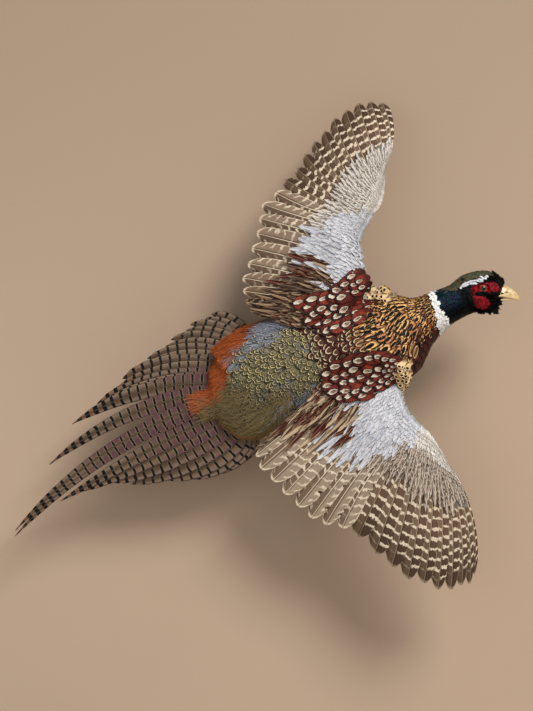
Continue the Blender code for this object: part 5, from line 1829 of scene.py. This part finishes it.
def whiskers(name, count, low, high, way, length, half_width):
    """Loose feathers that stand clear of the skin: roots in a box, all pointing along way."""
    roots = rng.uniform(low, high, (count, 3))
    side = (roots[:, 1:2] - MIDDLE_Y) / 0.008
    aim = unit(np.array(way) + side * (0, 0.45, 0) + rng.normal(0, 0.16, (count, 3)))
    across = unit(np.cross(aim, (0, 1.0, 0)))
    p = (length * rng.uniform(0.6, 1.15, count))[:, None, None] * frayed(SMALL[0], count, 0.12)
    q = half_width * SMALL[1][None] + 0 * p
    droop = (p ** 2 * 14)[..., None] * (0, 0, -1.0)
    points = roots[:, None, None] + aim[:, None, None] * p[..., None] + droop
    points = points + across[:, None, None] * q[..., None]
    where = (roots[:, ::2] - np.array(low)[::2]) / (np.array(high) - np.array(low))[::2] * 0.8 + 0.1
    outward = np.where(side > 0, 1.0, -1.0) * (0, 1, 0)
    sheets(name, points, SMALL[2], where, (0.06, 0.06), rng.random(count), outward, face_finish)


whiskers("whiskers_chin", 170, (0.2670, -0.1525, 0.0905), (0.2790, -0.1375, 0.0965), (1.0, 0.0, -0.05),
         0.0078, 0.0013)
whiskers("whiskers_jaw", 190, (0.2560, -0.1530, 0.0810), (0.2750, -0.1370, 0.0925), (0.80, 0.0, -0.45),
         0.0088, 0.0014)
whiskers("whiskers_forehead", 110, (0.2700, -0.1500, 0.1180), (0.2775, -0.1400, 0.1245), (0.45, 0.0, 0.75),
         0.0062, 0.0011)

# %% [markdown]
# ## One skin under the coat
# The flesh of the solids becomes a single skin with no seams: joined, remeshed, smoothed and drawn in by
# the depth of the coat. It hardly shows, yet it closes the gaps between tufts, so it has to carry the
# colours of the zone that grows on it. Each face takes the finish of the nearest feather's zone.
# %% Skin
FLESH = ["trunk", "neck_ring", "neck", "head", "thigh_left", "thigh_right", "wing_left_arm", "wing_left_hand",
         "wing_right_arm", "wing_right_hand"]
SKIN_TONES = {
    "scapulars": (84, 38, 24), "coat_breast": (58, 20, 16), "coat_flanks": (112, 62, 32),
    "coat_belly": (40, 31, 25), "coat_rump": (98, 98, 70), "coat_back": (76, 42, 30),
    "coat_mantle": (138, 92, 48), "coat_collar": (206, 203, 198), "coat_neck": (10, 22, 32),
    "coat_crown": (54, 56, 40), "coat_brow": (170, 172, 178), "coat_face": (10, 14, 16),
    "red_face": (120, 14, 22), "plumes_blue": (112, 122, 140), "plumes_olive": (92, 88, 58),
    "plumes_rust": (128, 62, 28), "smooth": (176, 181, 190), "inner": (140, 112, 84),
    "hand": (138, 128, 116), "fringe": (178, 166, 148), "lining": (196, 184, 164)}
ZONES = list(SKIN_TONES)


def skin_finish(name):
    f = Finish("skin_" + name, 0.75)
    grain = noise(object_place(), 420.0, 3.0)
    dark = tuple(c * 0.55 for c in srgb(*SKIN_TONES[name])[:3]) + (1.0,)
    return f.done(mix(grain, dark, SKIN_TONES[name]), grain, 0.4)


def loose_copy(node, name):
    """A copy of a solid with a mesh of its own."""
    copy = node.copy()
    copy.data, copy.name = node.data.copy(), name
    bpy.context.scene.collection.objects.link(copy)
    return copy


def merge_doubles(then=None, **settings):
    """Joins the loose triangles of the active piece, then runs one more operator on all its faces."""
    bpy.ops.object.mode_set(mode="EDIT")
    bpy.ops.mesh.select_all(action="SELECT")
    bpy.ops.mesh.remove_doubles(threshold=0.00001)
    if then:
        then(**settings)
    bpy.ops.object.mode_set(mode="OBJECT")


def make_skin():
    """One closed surface from the solids of flesh, drawn in by the depth of the coat."""
    pick(*[loose_copy(bpy.data.objects[name], name + "_flesh") for name in FLESH])
    bpy.ops.object.join()
    skin = bpy.context.object
    skin.name = "skin"
    merge_doubles()
    for kind, settings in (("REMESH", {"mode": "VOXEL", "voxel_size": 0.0022}),
                           ("SMOOTH", {"factor": 0.6, "iterations": 8}),
                           ("DISPLACE", {"strength": -0.0012, "mid_level": 0.0, "direction": "NORMAL"})):
        step = skin.modifiers.new(kind.lower(), kind)
        for key, value in settings.items():
            setattr(step, key, value)
        bpy.ops.object.modifier_apply(modifier=step.name)
    bpy.ops.object.shade_smooth()
    # shallow sockets, so that the skin stays behind the glass eyes and their lids
    places = corners_of(skin)
    out = places[:, 1] - MIDDLE_Y
    near_eye = smooth(round_eye(places[:, 0], places[:, 2]), 2.6, 1.5) * (np.abs(out) > 0.007)
    places[:, 1] -= 0.0038 * np.sign(out) * near_eye
    skin.data.vertices.foreach_set("co", places.ravel())
    return skin


def corners_of(piece):
    corners = np.empty(len(piece.data.vertices) * 3, np.float32)
    piece.data.vertices.foreach_get("co", corners)
    return corners.reshape(-1, 3)


skin = make_skin()
nearby, zones = [], []
for piece in bpy.data.objects:
    fits = [i for i, key in enumerate(ZONES) if key in piece.name]
    if fits and piece.type == "MESH" and piece is not skin:
        nearby.append(corners_of(piece)[::7])
        zones.append(np.full(len(nearby[-1]), fits[0]))
nearby, zones = np.concatenate(nearby), np.concatenate(zones)
tree = KDTree(len(nearby))
for number, place in enumerate(nearby):
    tree.insert(place, number)
tree.balance()
skin.data.materials.clear()
for name in ZONES:
    skin.data.materials.append(skin_finish(name))
for face in skin.data.polygons:
    face.material_index = int(zones[tree.find(face.center)[1]])
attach(skin, "root")
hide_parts(*FLESH)
print("skin faces", len(skin.data.polygons), "in", len(set(zones.tolist())), "zones")

# %% [markdown]
# ## Legs
# The feet trail under the tail, clenched loosely. The solids are faceted, so a finer copy of each is
# merged and subdivided, and its scales are drawn in the finish: plates down the shank, fine grains
# between.
# %% Feet
scaly = Finish("leg_scales", 0.5, Coat_Weight=0.1)
at = object_place()
plates = add_node("ShaderNodeTexVoronoi", 0, {"Vector": stretched(at, (420, 700, 700)), "Scale": 1.0},
                    feature="DISTANCE_TO_EDGE")
tint = mix(noise(at, 160.0), (106, 98, 84), (142, 132, 112))
scaly.done(mix(between(plates, 0.02, 0.14), (62, 54, 46), tint), plates, 0.6, 0.0004)
for side in ("left", "right"):
    foot = bpy.data.objects[f"foot_{side}"]
    finer = loose_copy(foot, f"scaly_foot_{side}")
    pick(finer)
    merge_doubles(bpy.ops.mesh.subdivide, number_cuts=1, smoothness=0.6)
    bpy.ops.object.shade_smooth()
    finer.data.materials.clear()
    finer.data.materials.append(scaly.material)
    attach(finer, "root")
    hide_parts(foot.name)
print("feet made")

# %% [markdown]
# ## The hanger
# It is plain brushed steel: two rods from the form inside to a plate on the wall. The plate is held by
# two screws, which the solids don't have, so each is made here from a short cylinder with rounded rims.
# %% Hanger and screws
steel = Finish("brushed_steel", 0.38, Metallic=1.0)
grain = noise(stretched(object_place(), (60, 60, 1500)), 1.0, 3.0)
steel.done(mix(grain, (128, 130, 134), (188, 190, 194)), grain, 0.15, 0.0002)
for name in ("stand_wall_plate", "stand_rod_front", "stand_rod_rear"):
    node = bpy.data.objects[name]
    node.data.materials.clear()
    node.data.materials.append(steel.material)
SCREW_OFF, HEAD_RADIUS, HEAD_HEIGHT, HEAD_Y = 0.029, 0.0036, 0.0014, -0.0046
for number, x in enumerate((-SCREW_OFF, SCREW_OFF)):
    pick()
    bpy.ops.mesh.primitive_cylinder_add(vertices=32, radius=HEAD_RADIUS, depth=HEAD_HEIGHT,
                                        location=(x, HEAD_Y, 0.0), rotation=(math.pi / 2, 0, 0))
    screw = bpy.context.object
    screw.name = f"plate_screw_{number + 1}"
    bpy.ops.object.transform_apply(location=True, rotation=True)
    bpy.ops.object.mode_set(mode="EDIT")
    bpy.ops.mesh.select_all(action="SELECT")
    bpy.ops.mesh.bevel(offset=0.0004, segments=2)
    bpy.ops.object.mode_set(mode="OBJECT")
    bpy.ops.object.shade_smooth_by_angle(angle=math.radians(40))
    screw.data.materials.append(steel.material)
    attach(screw, "root")
print("hanger finished")

# %% [markdown]
# ## Wall, floor, light and camera
# The bird hangs on a plain wall. The wall and a pale floor are the stage and no part of the object. One
# broad lamp above and in front gives the soft shadow that falls below the bird, and a weak fill lifts
# the dark side. Seen from behind, the wall's back is clear, so that the hanger can be looked at.
# %% Stage
def stage_plane(name, size, place, turn, finish):
    pick()
    bpy.ops.mesh.primitive_plane_add(size=size, location=place, rotation=turn)
    plane = bpy.context.object
    plane.name = name
    plane.data.materials.append(finish)
    return plane


wall = Finish("wall_paint", 0.9)
painted = mix(noise(object_place(), 3.0, 2.0), (183, 159, 136), (177, 153, 130))
# painted shade: the wall's paint darkens towards the top, the falloff of the light painted in
height = parts(add_node("ShaderNodeNewGeometry", "Position", {}))[2]
wall.done(mix(between(height, -0.20, 0.70), painted, (158, 136, 115)))
clear = add_node("ShaderNodeBsdfTransparent", 0, {})
behind = add_node("ShaderNodeNewGeometry", "Backfacing", {})
solid = Wire(wall.shader.outputs[0])
shown = add_node("ShaderNodeMixShader", 0, {0: behind, 1: solid, 2: clear})
join(wall.tree.nodes["Material Output"].inputs["Surface"], shown)
floor = Finish("floor_paint", 0.8)
floor.done(mix(noise(object_place(), 2.0), (214, 208, 200), (206, 200, 192)))
stage_plane("stage_wall", 6.0, (0, 0.0006, 0), (math.pi / 2, 0, 0), wall.material)
stage_plane("stage_floor", 9.0, (0, 0, -1.15), (0, 0, 0), floor.material)


def lamp(name, place, aim, size, power, colour):
    light = bpy.data.lights.new(name, "AREA")
    light.shape, light.size, light.energy, light.color = "DISK", size, power, colour
    light_object = bpy.data.objects.new(name, light)
    light_object.location = place
    direction = np.array(aim, float) - place
    light_object.rotation_mode = "QUATERNION"
    light_object.rotation_quaternion = Vector(direction).to_track_quat("-Z", "Y")
    light_object.visible_camera = False
    bpy.context.scene.collection.objects.link(light_object)


lamp("key", (1.9, -3.6, 3.1), (0.0, -0.05, -0.1), 2.2, 238, (1.0, 0.975, 0.945))
lamp("fill", (-1.2, -3.2, 0.2), (0, 0, 0), 2.4, 14, (0.98, 0.98, 1.0))
world = bpy.data.worlds.new("room")
world.use_nodes = True
world.node_tree.nodes["Background"].inputs["Color"].default_value = (0.92, 0.95, 1.0, 1)
world.node_tree.nodes["Background"].inputs["Strength"].default_value = 0.34
bpy.context.scene.world = world
bpy.context.scene.view_settings.view_transform = "Standard"

eye_point = bpy.data.cameras.new("camera")
eye_point.lens, eye_point.sensor_width = 120, 36
camera = bpy.data.objects.new("camera", eye_point)
camera.location = (-0.06525, -3.675, 0.01425)
camera.rotation_euler = (math.pi / 2, 0, 0)
bpy.context.scene.collection.objects.link(camera)
bpy.context.scene.camera = camera
print("stage set")
